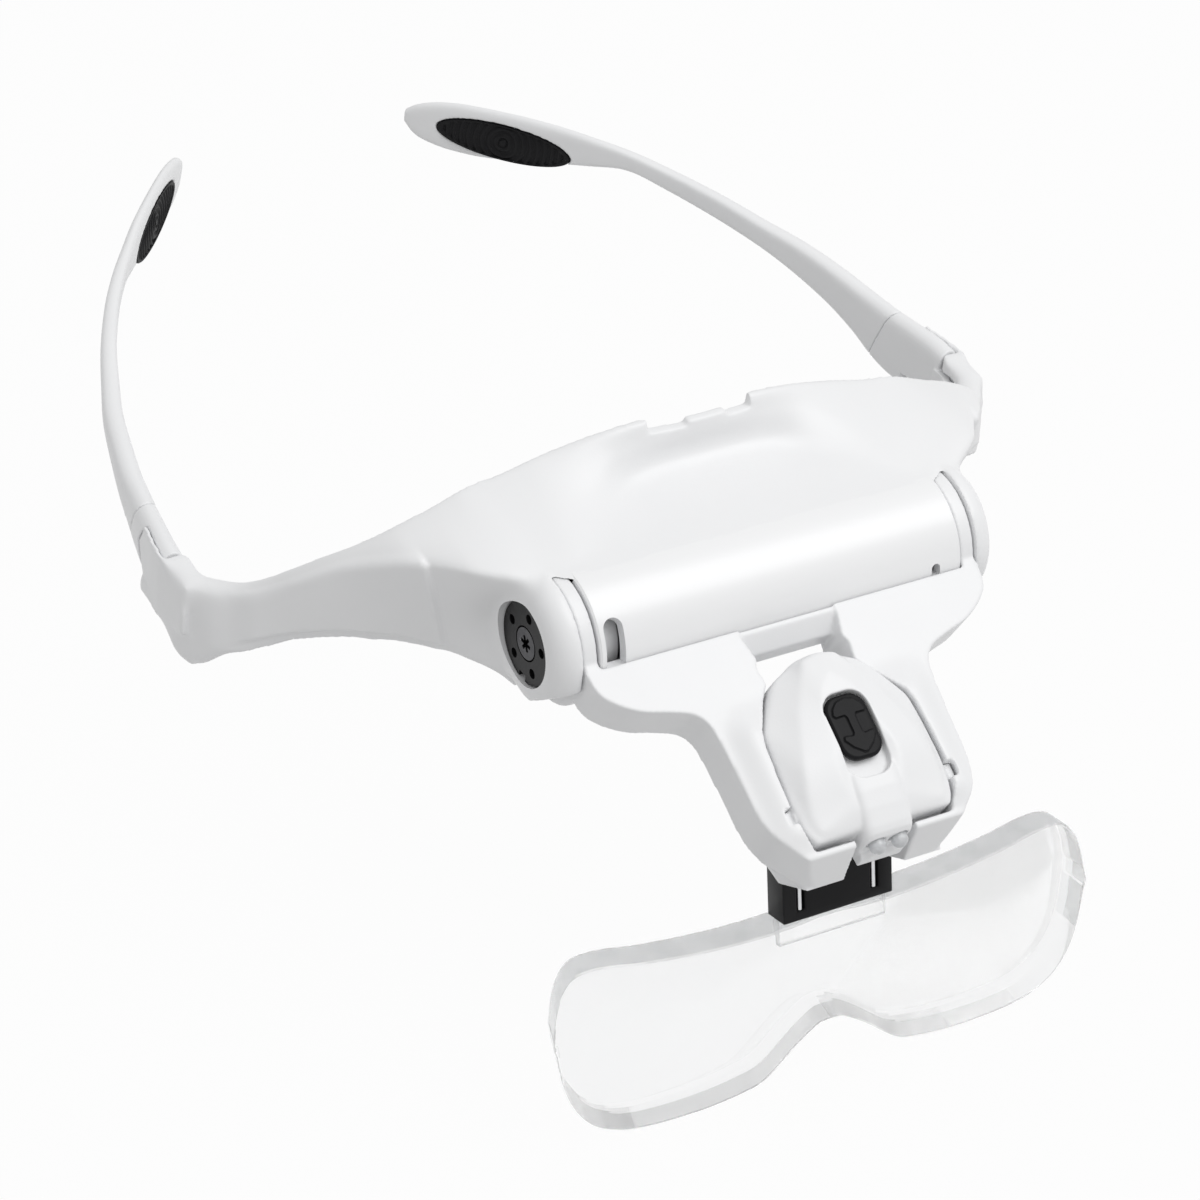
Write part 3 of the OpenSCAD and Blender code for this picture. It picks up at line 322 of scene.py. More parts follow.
mm = 0.001
drum_r = 12.5 * mm
drum_half = 36.1 * mm
axle_r = 4.05 * mm
ear_slot_r = 12.15 * mm
disc_r = 7.65 * mm
beyond = 60 * mm
slot_end = 39.4 * mm
cap_side = 44 * mm
hinge_x = 80 * mm
hinge_y = 52 * mm
hinge_top = -8.7 * mm
wing_start = np.array([cap_side, 0, drum_r])
wing_span = np.array([83.3 * mm - cap_side, hinge_y - mm, drum_r - hinge_top])
# Each row holds shares of the wing's span: crease, face, lower edge and rear top edge. Its last pair is
# the wall and the rise of the top in millimetres.
wing = [
    [(-0.10, 0.02, 0.02), (-0.10, 0.167, 0.59), (-0.10, 0.07, 1.12), (-0.10, 0.47, -0.21), (2.4, 0.1)],
    [(0.005, 0.03, 0.01), (0.005, 0.18, 0.59), (0.005, 0.12, 1.15), (0.01, 0.47, -0.165), (2.4, 0.2)],
    [(0.075, 0.065, 0.005), (0.075, 0.195, 0.57), (0.075, 0.22, 1.15), (0.08, 0.47, -0.115), (2.4, 0.3)],
    [(0.148, 0.124, 0.023), (0.153, 0.235, 0.565), (0.160, 0.32, 1.11), (0.155, 0.475, -0.055), (2.4, 0.6)],
    [(0.275, 0.263, 0.104), (0.285, 0.333, 0.57), (0.293, 0.404, 1.085), (0.268, 0.486, 0.035), (2.4, 0.9)],
    [(0.370, 0.353, 0.179), (0.378, 0.405, 0.6), (0.386, 0.459, 1.11), (0.345, 0.502, 0.118), (2.4, 1)],
    [(0.510, 0.496, 0.391), (0.507, 0.508, 0.72), (0.485, 0.522, 1.137), (0.464, 0.553, 0.289), (2.5, 1)],
    [(0.622, 0.590, 0.590), (0.628, 0.602, 0.88), (0.637, 0.624, 1.25), (0.566, 0.624, 0.467), (2.6, 0.9)],
    [(0.730, 0.692, 0.807), (0.728, 0.685, 1.05), (0.724, 0.678, 1.354), (0.668, 0.714, 0.693), (2.8, 0.8)],
    [(0.793, 0.749, 0.892), (0.800, 0.742, 1.15), (0.808, 0.733, 1.462), (0.717, 0.773, 0.807), (3.2, 0.7)],
    [(0.855, 0.800, 0.965), (0.868, 0.794, 1.25), (0.880, 0.790, 1.595), (0.752, 0.83, 0.9), (3.8, 0.5)],
    [(0.905, 0.843, 0.996), (0.922, 0.840, 1.34), (0.940, 0.853, 1.77), (0.788, 0.892, 0.97), (4.6, 0.4)],
    [(0.962, 0.914, 1.010), (0.958, 0.915, 1.4), (0.950, 0.93, 1.835), (0.834, 0.953, 1.0), (5, 0.2)]]
# Share of the way along the drum, then the brow's rear top edge and its foot as (back, up) in millimetres
brow = [
    [0, (20.5, 24.3), (17, 15.6)], [0.266, (21.3, 23.4), (16.6, 15.5)], [0.435, (22, 22.6), (15.3, 15)],
    [0.59, (22.9, 21.3), (12.5, 14.9)], [0.748, (23.6, 19.8), (9, 14.5)], [0.873, (23.8, 18.7), (5.5, 13.8)],
    [0.975, (23.9, 17.7), (2.7, 12.9)]]


def wing_sections():
    """One row of 14 points per place along a wing: up the front face, back over the top, down the inside."""
    shares = np.array([row[:4] for row in wing])
    wall, rise = np.array([row[4] for row in wing]).T[:, :, None] * mm
    crease, face, lower, rear = (wing_start + shares[:, i] * wing_span * (1, 1, -1) for i in range(4))
    way = np.gradient(crease[:, :2], axis=0)
    inward = np.stack([-way[:, 1], way[:, 0], np.zeros(len(way))], axis=-1)
    inward /= np.linalg.norm(inward, axis=1, keepdims=True)
    inward[:3] = (0, 1, 0)
    up = np.array([0, 0, 1.0]) * rise
    under = np.array([0, 0, -1.6 * mm])
    back = inward * wall
    top = [crease + (rear - crease) * share + up * lift
           for share, lift in ((0.12, 0.8), (0.38, 1.1), (0.68, 0.9), (0.92, 0.4))]
    inner = [rear + under + (crease + back - rear) * share for share in (0, 0.4, 0.75, 1)]
    return np.stack([lower, face, crease, *top, rear, *inner, face + back, lower + back], axis=1)


def brow_sections():
    """One row of 14 points per place along the drum: over the bulge, up the brow, and back on the inside."""
    rows = []
    front = np.array([-1.8, 12.4])
    for _, rear, foot in brow:
        rear, foot = np.array(rear), np.array(foot)
        rim = rear + (-1.6, 0.1)
        middle = front + (foot - front) * (0.55, 0.35)
        rows.append([(-1.6, 10.8), (-1.8, 11.5), front, middle, foot, foot + (rim - foot) * 0.6, rim, rear,
                     rear + (-0.2, -1.8), foot + (1.8, -1.8), middle + (0.8, -2), (1.5, 10.9), (0.3, 10.9),
                     (-0.6, 10.75)])
    profile = np.array(rows) * mm
    across = np.array([row[0] for row in brow])[:, None, None] * drum_half
    return np.concatenate([np.broadcast_to(across, profile.shape[:2] + (1,)), profile], axis=-1)


def visor_skin():
    """Sections from hinge to hinge over the middle, with cubics along the visor and round each section."""
    half = np.concatenate([brow_sections(), wing_sections()])
    whole = np.concatenate([half[:0:-1], half * (-1, 1, 1)])
    dense = through(whole, 8)
    corners = (0, 2, 7, 8, 11, 13)
    runs = [through(dense[:, a:b + 1].transpose(1, 0, 2), 6)[:-1] for a, b in zip(corners, corners[1:])]
    last = np.linspace(dense[:, 13], dense[:, 0], 5)[:-1]
    return closed_tube("visor_moulding", np.concatenate(runs + [last]).transpose(1, 0, 2))


def outer_wall(side, thick, reach, view):
    """Curved wall outside a hinge: a strip in plan from thick inside the temple's outer face to reach outside
    it, kept inside a side view."""
    face = np.array([(83.4, 46.6), (83.4, 56.2), (82.95, 60), (82.15, 64), (81.3, 68.5)])
    strip = np.concatenate([face + (reach, 0), face[::-1] - (thick, 0)]) * (side * mm, mm)
    return worked(prism("outer_wall", strip, -40 * mm, 10 * mm, (0, 1, 2)),
                  ("INTERSECT", prism("wall_view", np.array(view) * mm, -100 * mm, 100 * mm, (1, 2, 0))))


def hinge_block(side):
    """Upper lug, the corner with the lower lug, and the wall outside the knuckle, round the hinge pin."""
    pin = np.array([side * hinge_x, hinge_y])
    nose = [(-1.4, -5.4), (1.8, -5.4), (3.1, -2), (3.4, 0), (3.4, 3.5)]
    upper = np.array(nose + [(-0.8, 3.5), (-1.9, 1.5), (-2.2, -1)]) * (side * mm, mm) + pin
    plan = np.array(nose + [(2.7, 12.2), (-2, 12.2), (-2.2, 3.5), (-2.8, 0)]) * (side * mm, mm) + pin
    view = np.array([(-5.4, -8.7), (-3.3, -8.7), (-3.3, -18.6), (12.2, -18.6), (12.2, -21), (5, -21.4),
                     (1.2, -23.5), (-1.6, -26), (-5.4, -27.4)]) * mm + (hinge_y, 0)
    ends = sorted((side * (hinge_x - 2.8 * mm), side * (hinge_x + 3.4 * mm)))
    corner = worked(prism("hinge_corner", view, *ends, (1, 2, 0)),
                    ("INTERSECT", prism("hinge_plan", plan, -40 * mm, 0, (0, 1, 2))))
    lug = prism("upper_lug", upper, -12 * mm, hinge_top, (0, 1, 2))
    wall_view = [(46, -8.8), (65.2, -8.8), (67.6, -13.4), (66, -17), (63, -19.6), (46, -19.6)]
    return lug, corner, outer_wall(side, 0.85, 0, wall_view)


def window_cutter(low_x, high_x, low_angle, high_angle):
    """Curved block that opens a window in the drum. Its upper end is half a circle rolled onto the drum."""
    half = (high_x - low_x) / 2
    foot = np.radians(low_angle)
    top = np.radians(high_angle) - half / drum_r
    end = np.linspace(0, np.pi, 13)
    arch = np.stack([low_x + half + half * np.cos(end), top + half / drum_r * np.sin(end)], axis=-1)
    flat = np.concatenate([[(high_x, foot)], arch, [(low_x, foot)]])
    radii = np.array([drum_r - 3.5 * mm, drum_r + 2 * mm])[:, None]
    rings = np.stack([np.broadcast_to(flat[:, 0], (2, len(flat))), -radii * np.cos(flat[:, 1]),
                      radii * np.sin(flat[:, 1])], axis=-1)
    return closed_tube("window", rings)


def pivot_drum():
    """Hollow drum with its bored end walls and the two windows that show the ratchet inside."""
    wall, edge = 1.6 * mm, 0.3 * mm
    inner = drum_r - 2 * mm
    right = [(drum_half - edge, drum_r), (drum_half, drum_r - edge), (drum_half, axle_r),
             (drum_half - wall, axle_r), (drum_half - wall, inner)]
    left = [(-along, radius) for along, radius in right[::-1]]
    shell = turned_part("pivot_drum", right + left, 192)
    return worked(shell, ("DIFFERENCE", window_cutter(-35 * mm, -31.3 * mm, 3, 44),
                          window_cutter(30 * mm, 31.7 * mm, 3, 15)))


def end_cap(side):
    """Domed cap outside the ear slot: circles that shrink along the axis, with the lower front planed off."""
    dome = 4.2 * mm
    turn = np.linspace(0, np.pi / 2, 14)
    along = np.concatenate([[slot_end], slot_end + 0.4 * mm + dome * np.sin(turn)])
    radius = np.concatenate([[drum_r], drum_r - dome * (1 - np.cos(turn))])[:, None]
    x, angle = np.meshgrid(side * along, full_turn(120), indexing="ij")
    cap = closed_tube("end_cap", np.stack([x, radius * np.cos(angle), radius * np.sin(angle)], axis=-1))
    plane_slope = np.radians(52)
    out = np.array([-np.cos(plane_slope), -np.sin(plane_slope)])
    level = np.array([-out[1], out[0]])
    corners = ((9.8, -30), (9.8, 30), (40, 30), (40, -30))
    view = np.array([out * far + level * aside for far, aside in corners])
    return worked(cap, ("DIFFERENCE", prism("cap_plane", view * mm, -beyond, beyond, (1, 2, 0))))


def notch_cutter():
    """The notch in the brow's top edge, with a tab left standing in it: its front view carried backwards."""
    outline = np.array([(-10.5, 21.5), (-3, 21.5), (-3, 22.5), (4.9, 22.5), (4.9, 21.5), (10, 21.5), (10, 30),
                        (-10.5, 30)]) * mm
    return prism("notch", outline, 5 * mm, 40 * mm, (0, 2, 1))


def eased(t):
    """Zero below 0, one above 1, and a smooth step between them."""
    t = np.clip(t, 0, 1)
    return t * t * (3 - 2 * t)


def cap_fillet(places):
    """Full weight in the hollow between a cap's side and its wing, none on the cap's front."""
    x, y = np.abs(places[:, 0]) / mm, places[:, 1] / mm
    return eased(np.stack([(x - 41.2) / 2.5, (51 - x) / 4, (y + 3) / 5, (22 - y) / 6])).prod(axis=0)


def hinge_ease(places):
    """Full weight where a wing meets its upper lug and round its lower corner, none behind the hinge pin."""
    x, y, z = np.abs(places[:, 0]) / mm, places[:, 1] / mm, places[:, 2] / mm
    return np.maximum(*(eased(np.stack([(x - 70) / 6, (rear - y) / 3, level])).prod(axis=0)
                        for rear, level in ((54.6, (z + 15) / 4), (57, (-18.5 - z) / 3))))


def raised_panel(piece, height):
    """Lifts each wing's front face inside a panel, which ends at a leaning line and above the lower bevel."""
    places, normals = (rows_of(piece.data.vertices, what) for what in ("co", "normal"))
    x, z = np.abs(places[:, 0]) / mm, places[:, 2] / mm
    lower = (wing_start + np.array([row[2] for row in wing]) * wing_span * (1, 1, -1)) / mm
    bevel = np.interp(x, lower[:-1, 0], lower[:-1, 2])
    within = eased(np.stack([(x - 50.2 - 0.29 * (z + 5.8)) / 0.9, (z - bevel - 1.9) / 0.9, (78 - x) / 4,
                             -normals[:, 1] * 2 - 0.2]))
    lift = height * within.prod(axis=0)
    piece.data.vertices.foreach_set("co", (places + normals * lift[:, None]).ravel())
    piece.data.update()


visor = worked(visor_skin(), ("DIFFERENCE", notch_cutter()),
               ("UNION", end_cap(-1), end_cap(1), *hinge_block(-1), *hinge_block(1)))
melted(melted(cast(visor, cell=0.42 * mm, rounds=6), cap_fillet, rounds=90), hinge_ease, rounds=70)
raised_panel(visor, 0.8 * mm)
worked(visor, ("DIFFERENCE", *rod_pair("ear_slot", drum_half, slot_end, ear_slot_r),
               rod("drum_hollow", -34.5 * mm, 34.5 * mm, 10.5 * mm),
               *rod_pair("disc_recess", cap_side - 2.6 * mm, beyond, disc_r),
               rod("axle_bore", -beyond, beyond, axle_r)))
thinned(visor, 150000)


def grown_together(piece, *others):
    """Puts the others' faces into the piece's mesh and drops the others."""
    work = bmesh.new()
    for part in (piece, *others):
        work.from_mesh(part.data)
    work.to_mesh(piece.data)
    work.free()
    for part in others:
        bpy.data.objects.remove(part)
    return piece


def sharp_above(piece, degrees):
    """Smooth shading that breaks where two faces meet at more than the angle."""
    piece.data.shade_smooth()
    piece.data.set_sharp_from_angle(angle=np.radians(degrees))
    return piece


drum = sharp_above(pivot_drum(), 35)
boss_profile = np.array([(30.5, 1.6), (30.5, 8.5), (34.6, 8.5), (34.6, 1.6)]) * mm
bosses = [turned_part("screw_boss", boss_profile * (side, 1)) for side in (-1, 1)]
grown_together(sharp_above(visor, 42), drum, *(sharp_above(boss, 35) for boss in bosses))
white_satin = moulded("white_satin_abs", (0.86, 0.865, 0.875, 1), (0.89, 0.893, 0.9, 1), 0.36, 0.44,
                      0.0004, 0.00001, Coat_Weight=0.12, Coat_Roughness=0.25)
dressed(visor, white_satin, "visor", "visor_shell")
# Drum faces: a glossier finish, and a lighter white than the rest of the same moulding, which is painted
# light
polished_with_painted_light = moulded("polished_white_abs_painted_light", (0.9, 0.903, 0.91, 1), (0.91, 0.913, 0.919, 1), 0.28, 0.31,
                   0.0006, 0.000003, Coat_Weight=0.5, Coat_Roughness=0.24)
centres = np.abs(rows_of(visor.data.polygons, "center"))
off_axis = np.hypot(centres[:, 1], centres[:, 2])
also_coated(visor, polished_with_painted_light,
            (centres[:, 0] < drum_half) & (off_axis > drum_r - 0.35 * mm) & (off_axis < drum_r + 0.02 * mm))


# Lens yoke: one white ABS moulding that hangs from the drum. Two round ears
# turn in the drum's slots, two plates and two arms hold the lamp between
# them, and the block at the lower end is the socket of the lens clip.
def tipped(piece, degrees):
    """Turns a mesh about the drum's axis, from its own flat frame to its slope."""
    piece.data.transform(Matrix.Rotation(np.radians(degrees), 4, "X"))
    return piece


def two_sided(half):
    """Closed outline from its right half, whose ends may lie off the middle line."""
    half = np.asarray(half, float)
    return np.concatenate([half, half[::-1] * (-1, 1)])


def sloped_plate(name, half, low, high, steps=1):
    """Plate on the yoke's slope from half an outline of (across, down the slope) in millimetres. With more
    steps than one the outline runs on cubics."""
    run = through(half, steps) if steps > 1 else half
    return prism(name, two_sided(run) * (mm, -mm), low * mm, high * mm, (0, 1, 2))


def sloped_bar(name, view, half):
    """Bar across the slope from its side view of (down the slope, height) in millimetres."""
    return prism(name, np.array(view, float) * (-mm, mm), -half * mm, half * mm, (1, 2, 0))


def under_relief(name, across, down, height, floor):
    """Block under a relief: one ring for each place across, whose top follows height(across, down)."""
    x, d = np.meshgrid(across, down, indexing="ij")
    top = np.stack([x, -d, height(x, d)], axis=-1)
    ends = top[:, [-1, 0]].copy()
    ends[:, :, 2] = floor
    return closed_tube(name, np.concatenate([top, ends], axis=1) * mm)


def yoke_face(x, down):
    """Front face: level on the plates, and a soft rise along each arm towards the lamp."""
    rise = eased((21.4 - np.abs(x)) / 5.8) * eased((down - 22) / 8) * eased((52 - down) / 5)
    return 7.6 + 2.1 * rise


yoke_slope, lens_tilt = 29, 15
arm_outline = [(39.3, 8), (39.3, 11), (38.6, 14.6), (36.3, 17.2), (32.6, 19.5), (27.8, 21), (24.1, 22.4),
               (22.2, 24.6), (21.6, 28), (21.3, 33), (21.1, 37.9), (20.8, 43.5), (19.2, 48), (16.3, 51.5),
               (13.5, 54.1), (10.3, 55.1)]
lamp_edge = [(0, 18.5), (3.4, 19), (5.7, 20.1), (8.3, 21.4), (10.4, 23.8), (13.9, 29.2), (14.5, 31.6),
             (14.9, 37.5), (15.1, 42.8), (14.87, 46.1), (14.35, 48.5), (13.36, 50.4)]
# The opening leaves the lamp half a millimetre of room at its sides and its shoulder
opening = [(6, 14.6), (8.2, 15.5), (9.2, 17.6), (8.8, 20.9)]
opening += [(x + 0.5, down) for x, down in lamp_edge if 23.5 < down < 49.4]
opening += [(14.04, 50), (13.6, 51.3)]
pin_r = 1.5
pin_spot = (-44.7 * mm, 7 * mm)


def lens_yoke():
    """Slab in its outline, kept under the relief of its face, with the crossbar, socket and ears added. The
    pocket lies in the lens's frame and is turned from there."""
    ear_in, ear_out, room_r = 36.35 * mm, 39.15 * mm, 12.8 * mm
    relief = under_relief("face", np.linspace(-42, 42, 113), np.linspace(4, 60, 75), yoke_face, -3)
    crossbar = [(10, 0), (10, 7.3), (11.5, 7.3), (14.6, 4.3), (14.6, 0.5), (13.6, 0)]
    socket = [(54.9, -1.2), (50.2, -9), (40.38, -12.5), (35.93, -7.9), (39.2, -1.2)]
    pocket = np.array([(-11.3, -27.46), (11.3, -27.46), (11.3, -21.86), (-11.3, -21.86)]) * mm
    lower_face = [(52.2, 20), (52.4, 7.6), (54.9, -1.25), (80, -1.25), (80, 20)]
    nose_gap = [(47.4, 30), (47.4, -1.9), (50.2, -1.9), (47, -9.9), (45.4, -13.2), (80, -13.2), (80, 30)]
    return worked(
        sloped_plate("yoke_moulding", arm_outline, -1.2, 10.5, 5),
        ("INTERSECT", relief),
        ("DIFFERENCE", sloped_plate("opening", opening, -3, 20), sloped_bar("lower_face", lower_face, 60),
         sloped_plate("plate_corners", [(8.5, 0), (9.6, 11.5), (8.4, 16.6)], -3, 20)),
        ("UNION", sloped_bar("crossbar", crossbar, 10), sloped_bar("socket", socket, 13.7),
         *rod_pair("ear", ear_in, ear_out, 11.9 * mm)),
        ("DIFFERENCE", rod("drum_room", -ear_in, ear_in, room_r),
         *rod_pair("cap_room", ear_out, beyond, room_r),
         rod("axle", -beyond, beyond, axle_r),
         tipped(prism("pocket", pocket, -90 * mm, -33.45 * mm, (0, 1, 2)), -yoke_slope - lens_tilt),
         sloped_bar("nose_gap", nose_gap, 6),
         rod("pin_seat", -17.3 * mm, 17.3 * mm, (pin_r + 0.05) * mm, pin_spot, 32),
         sloped_bar("pin_slot", [(46.1, 7), (43.3, 7), (43.3, 30), (46.1, 30)], 16.9)))


yoke = tipped(thinned(cast(lens_yoke(), cell=0.3 * mm, rounds=8), 180000), yoke_slope)
dressed(yoke, white_satin, "yoke", "lens_yoke")


# Lamp: a white ABS shell with a softly rounded crown and a short nose over the
# two diodes, closed by a rear shell and two screws. It swings on two pins.
def evenly(outline, count):
    """Points at equal steps of length along an open outline."""
    outline = np.asarray(outline, float)
    length = np.concatenate([[0], np.cumsum(np.linalg.norm(np.diff(outline, axis=0), axis=1))])
    at = np.linspace(0, length[-1], count)
    return np.stack([np.interp(at, length, outline[:, 0]), np.interp(at, length, outline[:, 1])], axis=-1)


def lamp_crown():
    """Rings from the foot over the rim and the plateau to the crown, which fall towards the nose."""
    plateau = [(0, 19.3), (3.4, 20.1), (8.3, 28.9), (11.6, 38), (12.7, 42.5), (13, 46.5), (12.4, 49.4),
               (6, 50.1)]
    crown = [(0, 23.5), (3.2, 27), (4.6, 33), (5.6, 38.5), (6, 43), (5, 47), (2, 48.5)]
    rings = []
    rim = through(lamp_edge, 5)
    for outline, height, fall in ((rim, 4, 0), (rim, 9.1, 0.3), (plateau, 12, 2.6), (crown, 13.3, 2.4)):
        ring = two_sided(evenly(outline, 60))
        level = height - fall * eased((ring[:, 1:] - 37) / 13)
        rings.append(np.concatenate([ring * (1, -1), level], axis=1) * mm)
    return closed_tube("lamp_front", np.array(rings))


def slot_outline(half, start, end, corner=0.72):
    """Round-cornered slot of (across, down), from the upper to the lower end."""
    r = half * corner
    turn = np.linspace(0, np.pi / 2, 9)
    upper = np.stack([half - r + r * np.sin(turn), start + r - r * np.cos(turn)], axis=-1)
    lower = np.stack([half - r + r * np.cos(turn), end - r + r * np.sin(turn)], axis=-1)
    return np.concatenate([upper, lower])


def lamp_nose():
    """Boxy half-round sections from the knob's recess down to the diodes, drawn in towards the end."""
    angle = np.linspace(0, np.pi, 25)
    across, rise = np.sign(np.cos(angle)) * np.abs(np.cos(angle))**0.35, np.sin(angle)**0.3
    rings = []
    for down, half, top, low in (
            (39, 5.3, 12.6, 4.01), (42, 5.3, 12.8, 4.01), (45, 5.2, 12.4, 4.01), (48, 5.1, 11.6, 4.01),
            (51, 5, 10.5, 3), (52, 4.9, 9.9, 2), (52.7, 4.5, 8.9, 1.6)):
        section = np.stack([half * across, np.full(25, -down), low + 1 + (top - low - 1) * rise], axis=-1)
        rings.append(np.concatenate([[(half, -down, low)], section, [(-half, -down, low)]]))
    return closed_tube("lamp_nose", np.array(rings) * mm)


diode_r, diode_x, diode_z = 1.5, 2.2, 7


def lamp_front():
    """Crown and nose, hollowed from below, with the knob's recess, the pivot pins and the diodes' bores."""
    inner = [(x * 0.895, 20.2 + (down - 18.5) * 0.9) for x, down in lamp_edge]
    bores = [prism("bore", circle((side * diode_x, diode_z), diode_r + 0.25, 32) * mm, -80 * mm, -46.5 * mm,
                   (0, 2, 1)) for side in (-1, 1)]
    pin_top = np.array([(15.3, -43), (18, -43), (18, -46.4), (15.3, -46.4)]) * mm
    pin_tops = [prism("pin_top", pin_top * (side, 1), 7.7 * mm, 20 * mm, (0, 1, 2)) for side in (-1, 1)]
    lip = sloped_bar("lip", [(50.9, 0.9), (50.9, 4.6), (53.2, 4.4), (54, 3.6), (54.1, 1.4)], 4.3)
    between_pins = sloped_bar("between_pins", [(43, 5.4), (46.4, 5.4), (46.4, 8.6), (43, 8.6)], 13.2)
    return worked(
        cast(lamp_crown(), cell=0.3 * mm, rounds=26),
        ("UNION", lamp_nose(), lip),
        ("DIFFERENCE", sloped_plate("lamp_hollow", inner, 3, 8.6),
         sloped_plate("recess", slot_outline(4.3, 27.5, 42.9), 11, 30),
         sloped_plate("stem_slot", [(1.3, 33.7), (1.3, 39.1)], 0, 30)),
        ("UNION", rod("pivot_pins", -16.9 * mm, 16.9 * mm, pin_r * mm, pin_spot, 32)),
        ("DIFFERENCE", between_pins, *pin_tops, *bores))


lamp = tipped(thinned(cast(lamp_front(), cell=0.2 * mm, rounds=8), 150000), yoke_slope)
dressed(lamp, white_satin, "lamp", "lamp_front_shell")


# Sliding switch: a black knob with a flat face and a raised arrow that
# points both ways. It runs in the lamp's recess on a stem through the slot.
def switch_knob():
    """Round-cornered outline carried up its wall and over a soft rim, with the arrow raised on its face."""
    steps = [(3.3, 28.5, 39.1, 11.2), (3.9, 27.9, 39.7, 11.9), (3.95, 27.85, 39.75, 12.3),
             (3.9, 27.95, 39.65, 12.7), (3.6, 28.3, 39.3, 12.95), (3.1, 28.8, 38.8, 13)]
    rings = []
    for half, start, end, height in steps:
        outline = two_sided(slot_outline(half, start, end)) * (1, -1)
        rings.append(np.concatenate([outline, np.full((len(outline), 1), height)], axis=1) * mm)
    arrow = [(0.3, 28.9), (1.6, 29.2), (2.7, 30.2), (3.1, 31.3), (2.8, 31.8), (1.1, 31.7), (0.75, 32.2),
             (0.75, 35.1), (1.1, 35.6), (2.8, 35.4), (3, 36), (1.9, 37.5), (0.3, 38.7)]
    stem = sloped_plate("stem", [(1, 34), (1, 36)], 9.9, 11.4)
    return worked(closed_tube("switch_knob_cap", np.array(rings)),
                  ("UNION", sloped_plate("arrow", arrow, 12, 13.45), stem))


black_satin = moulded("black_satin_abs", (0.007, 0.007, 0.008, 1), (0.012, 0.012, 0.013, 1), 0.3, 0.4,
                      0.0005, 0.00001, Specular_IOR_Level=0.15)
knob = tipped(thinned(cast(switch_knob(), cell=0.12 * mm, rounds=3), 60000), yoke_slope)
dressed(knob, black_satin, "knob", "switch_knob")


# Lens clip: a black ABS block that slides into the yoke's socket. Two bright
# spring wires lie in its slots, and the lens's tab stands in it.
def own_copy(node, name):
    """A CAD node's mesh in one skin, as a new object."""
    piece = placed(name, frame["nodes"][node].data.copy())
    work = bmesh.new()
    work.from_mesh(piece.data)
    bmesh.ops.remove_doubles(work, verts=work.verts, dist=2e-6)
    bmesh.ops.dissolve_limit(work, angle_limit=0.01, verts=work.verts, edges=work.edges)
    work.to_mesh(piece.data)
    work.free()
    return piece


def eased_edges(piece, width):
    """Rounds every edge sharper than 30 degrees."""
    edge = piece.modifiers.new("edge", "BEVEL")
    edge.width = width
    edge.segments = 3
    edge.limit_method = "ANGLE"
    edge.angle_limit = np.radians(30)
    return sharp_above(frozen(piece), 40)


clip = eased_edges(own_copy("lens_clip", "clip_block"), 0.3 * mm)
dressed(clip, black_satin, "lens", "lens_clip")


# Lens: a clear cast acrylic plate with two lobes and a notch for the nose,
# polished on its faces and edges. Its tab stands in the black clip.
front_y, back_y = 24.66, 18.66
# Each rung runs from the upper edge to the lower edge, as (across, down) twice, in millimetres
lens_rungs = np.array([
    (0, 54.1, 0, 74.3), (2.2, 54.08, 1.1, 74.4), (7.7, 54.51, 2.9, 74.86), (13.75, 54.61, 7.2, 77.6),
    (21, 54.41, 13.5, 82.38), (27.5, 53.91, 18.5, 83.75), (33, 53.31, 26, 84.55), (38, 52.65, 35.6, 84.55),
    (45.4, 51.35, 42.3, 83.65), (50.3, 51.65, 47.7, 81.29), (52.8, 53.91, 51.2, 77.42),
    (54.2, 57.28, 53.5, 72.1), (55, 61.84, 54.7, 65.37)])


def lens_body():
    """Rungs carried from end to end of the lens, with a bowed front, a flat back and rounded edges."""
    bevel, corner = 0.5, 0.29
    bow, set_back, lens_half, draft = 0.5, 1.1, 55, 0.038
    half = through(lens_rungs, 6)
    rungs = np.concatenate([half[:0:-1] * (-1, 1, -1, 1), half])
    upper, lower = rungs[:, None, :2], rungs[:, None, 2:]
    length = np.linalg.norm(upper - lower, axis=2, keepdims=True)
    inset = np.minimum(bevel / length, 0.3)

    def on_rung(share):
        """Place at a share of the rung between its two rounded edges."""
        return upper + (lower - upper) * (inset + (1 - 2 * inset) * share)

    def bowed(place, share):
        """How far the front lies back: parabola along the rung, plus a slope towards the ends of the lens."""
        return bow * (2 * share - 1)**2 + set_back * np.abs(place[..., :1]) / lens_half

    def at_height(place, height):
        """The places at one height off the back, or at a height each."""
        return np.concatenate([place, height + np.zeros_like(length)], axis=2)

    def rounded(edge):
        """Four points round one edge, from the front to the back."""
        near = edge + (upper + lower - 2 * edge) * inset * corner
        face = front_y - bowed(edge, 1)
        return [at_height(near, face - corner * bevel), at_height(edge, face - bevel),
                at_height(edge, back_y + bevel), at_height(near, back_y + corner * bevel)]

    front = [at_height(on_rung(s), front_y - bowed(on_rung(s), s)) for s in np.linspace(0, 1, 15)]
    rear = [at_height(on_rung(s), back_y) for s in (1, 0.5, 0)]
    loop = np.concatenate(front + rounded(lower) + rear + rounded(upper)[::-1], axis=1)
    taper = 1 - draft * (front_y - loop[..., 2:]) / (front_y - back_y)
    body = np.concatenate([loop[..., :1] * taper, -loop[..., 2:], -loop[..., 1:2] * taper], axis=2)
    tip = body[[0, -1]]
    middle = tip.mean(axis=1, keepdims=True)
    tip = middle + (tip - middle) * 0.82
    tip[:, :, 0] += np.array([[-0.2], [0.2]])
    return closed_tube("lens_body", np.concatenate([tip[:1], body, tip[1:]]) * mm)


def standing_plate(name, half, top, low):
    """Upright plate of the lens's tab, from its half width and its two levels in millimetres."""
    outline = np.array([(-half, top), (half, top), (half, low), (-half, low)]) * mm
    return prism(name, outline, -25.26 * mm, -23.26 * mm, (0, 2, 1))


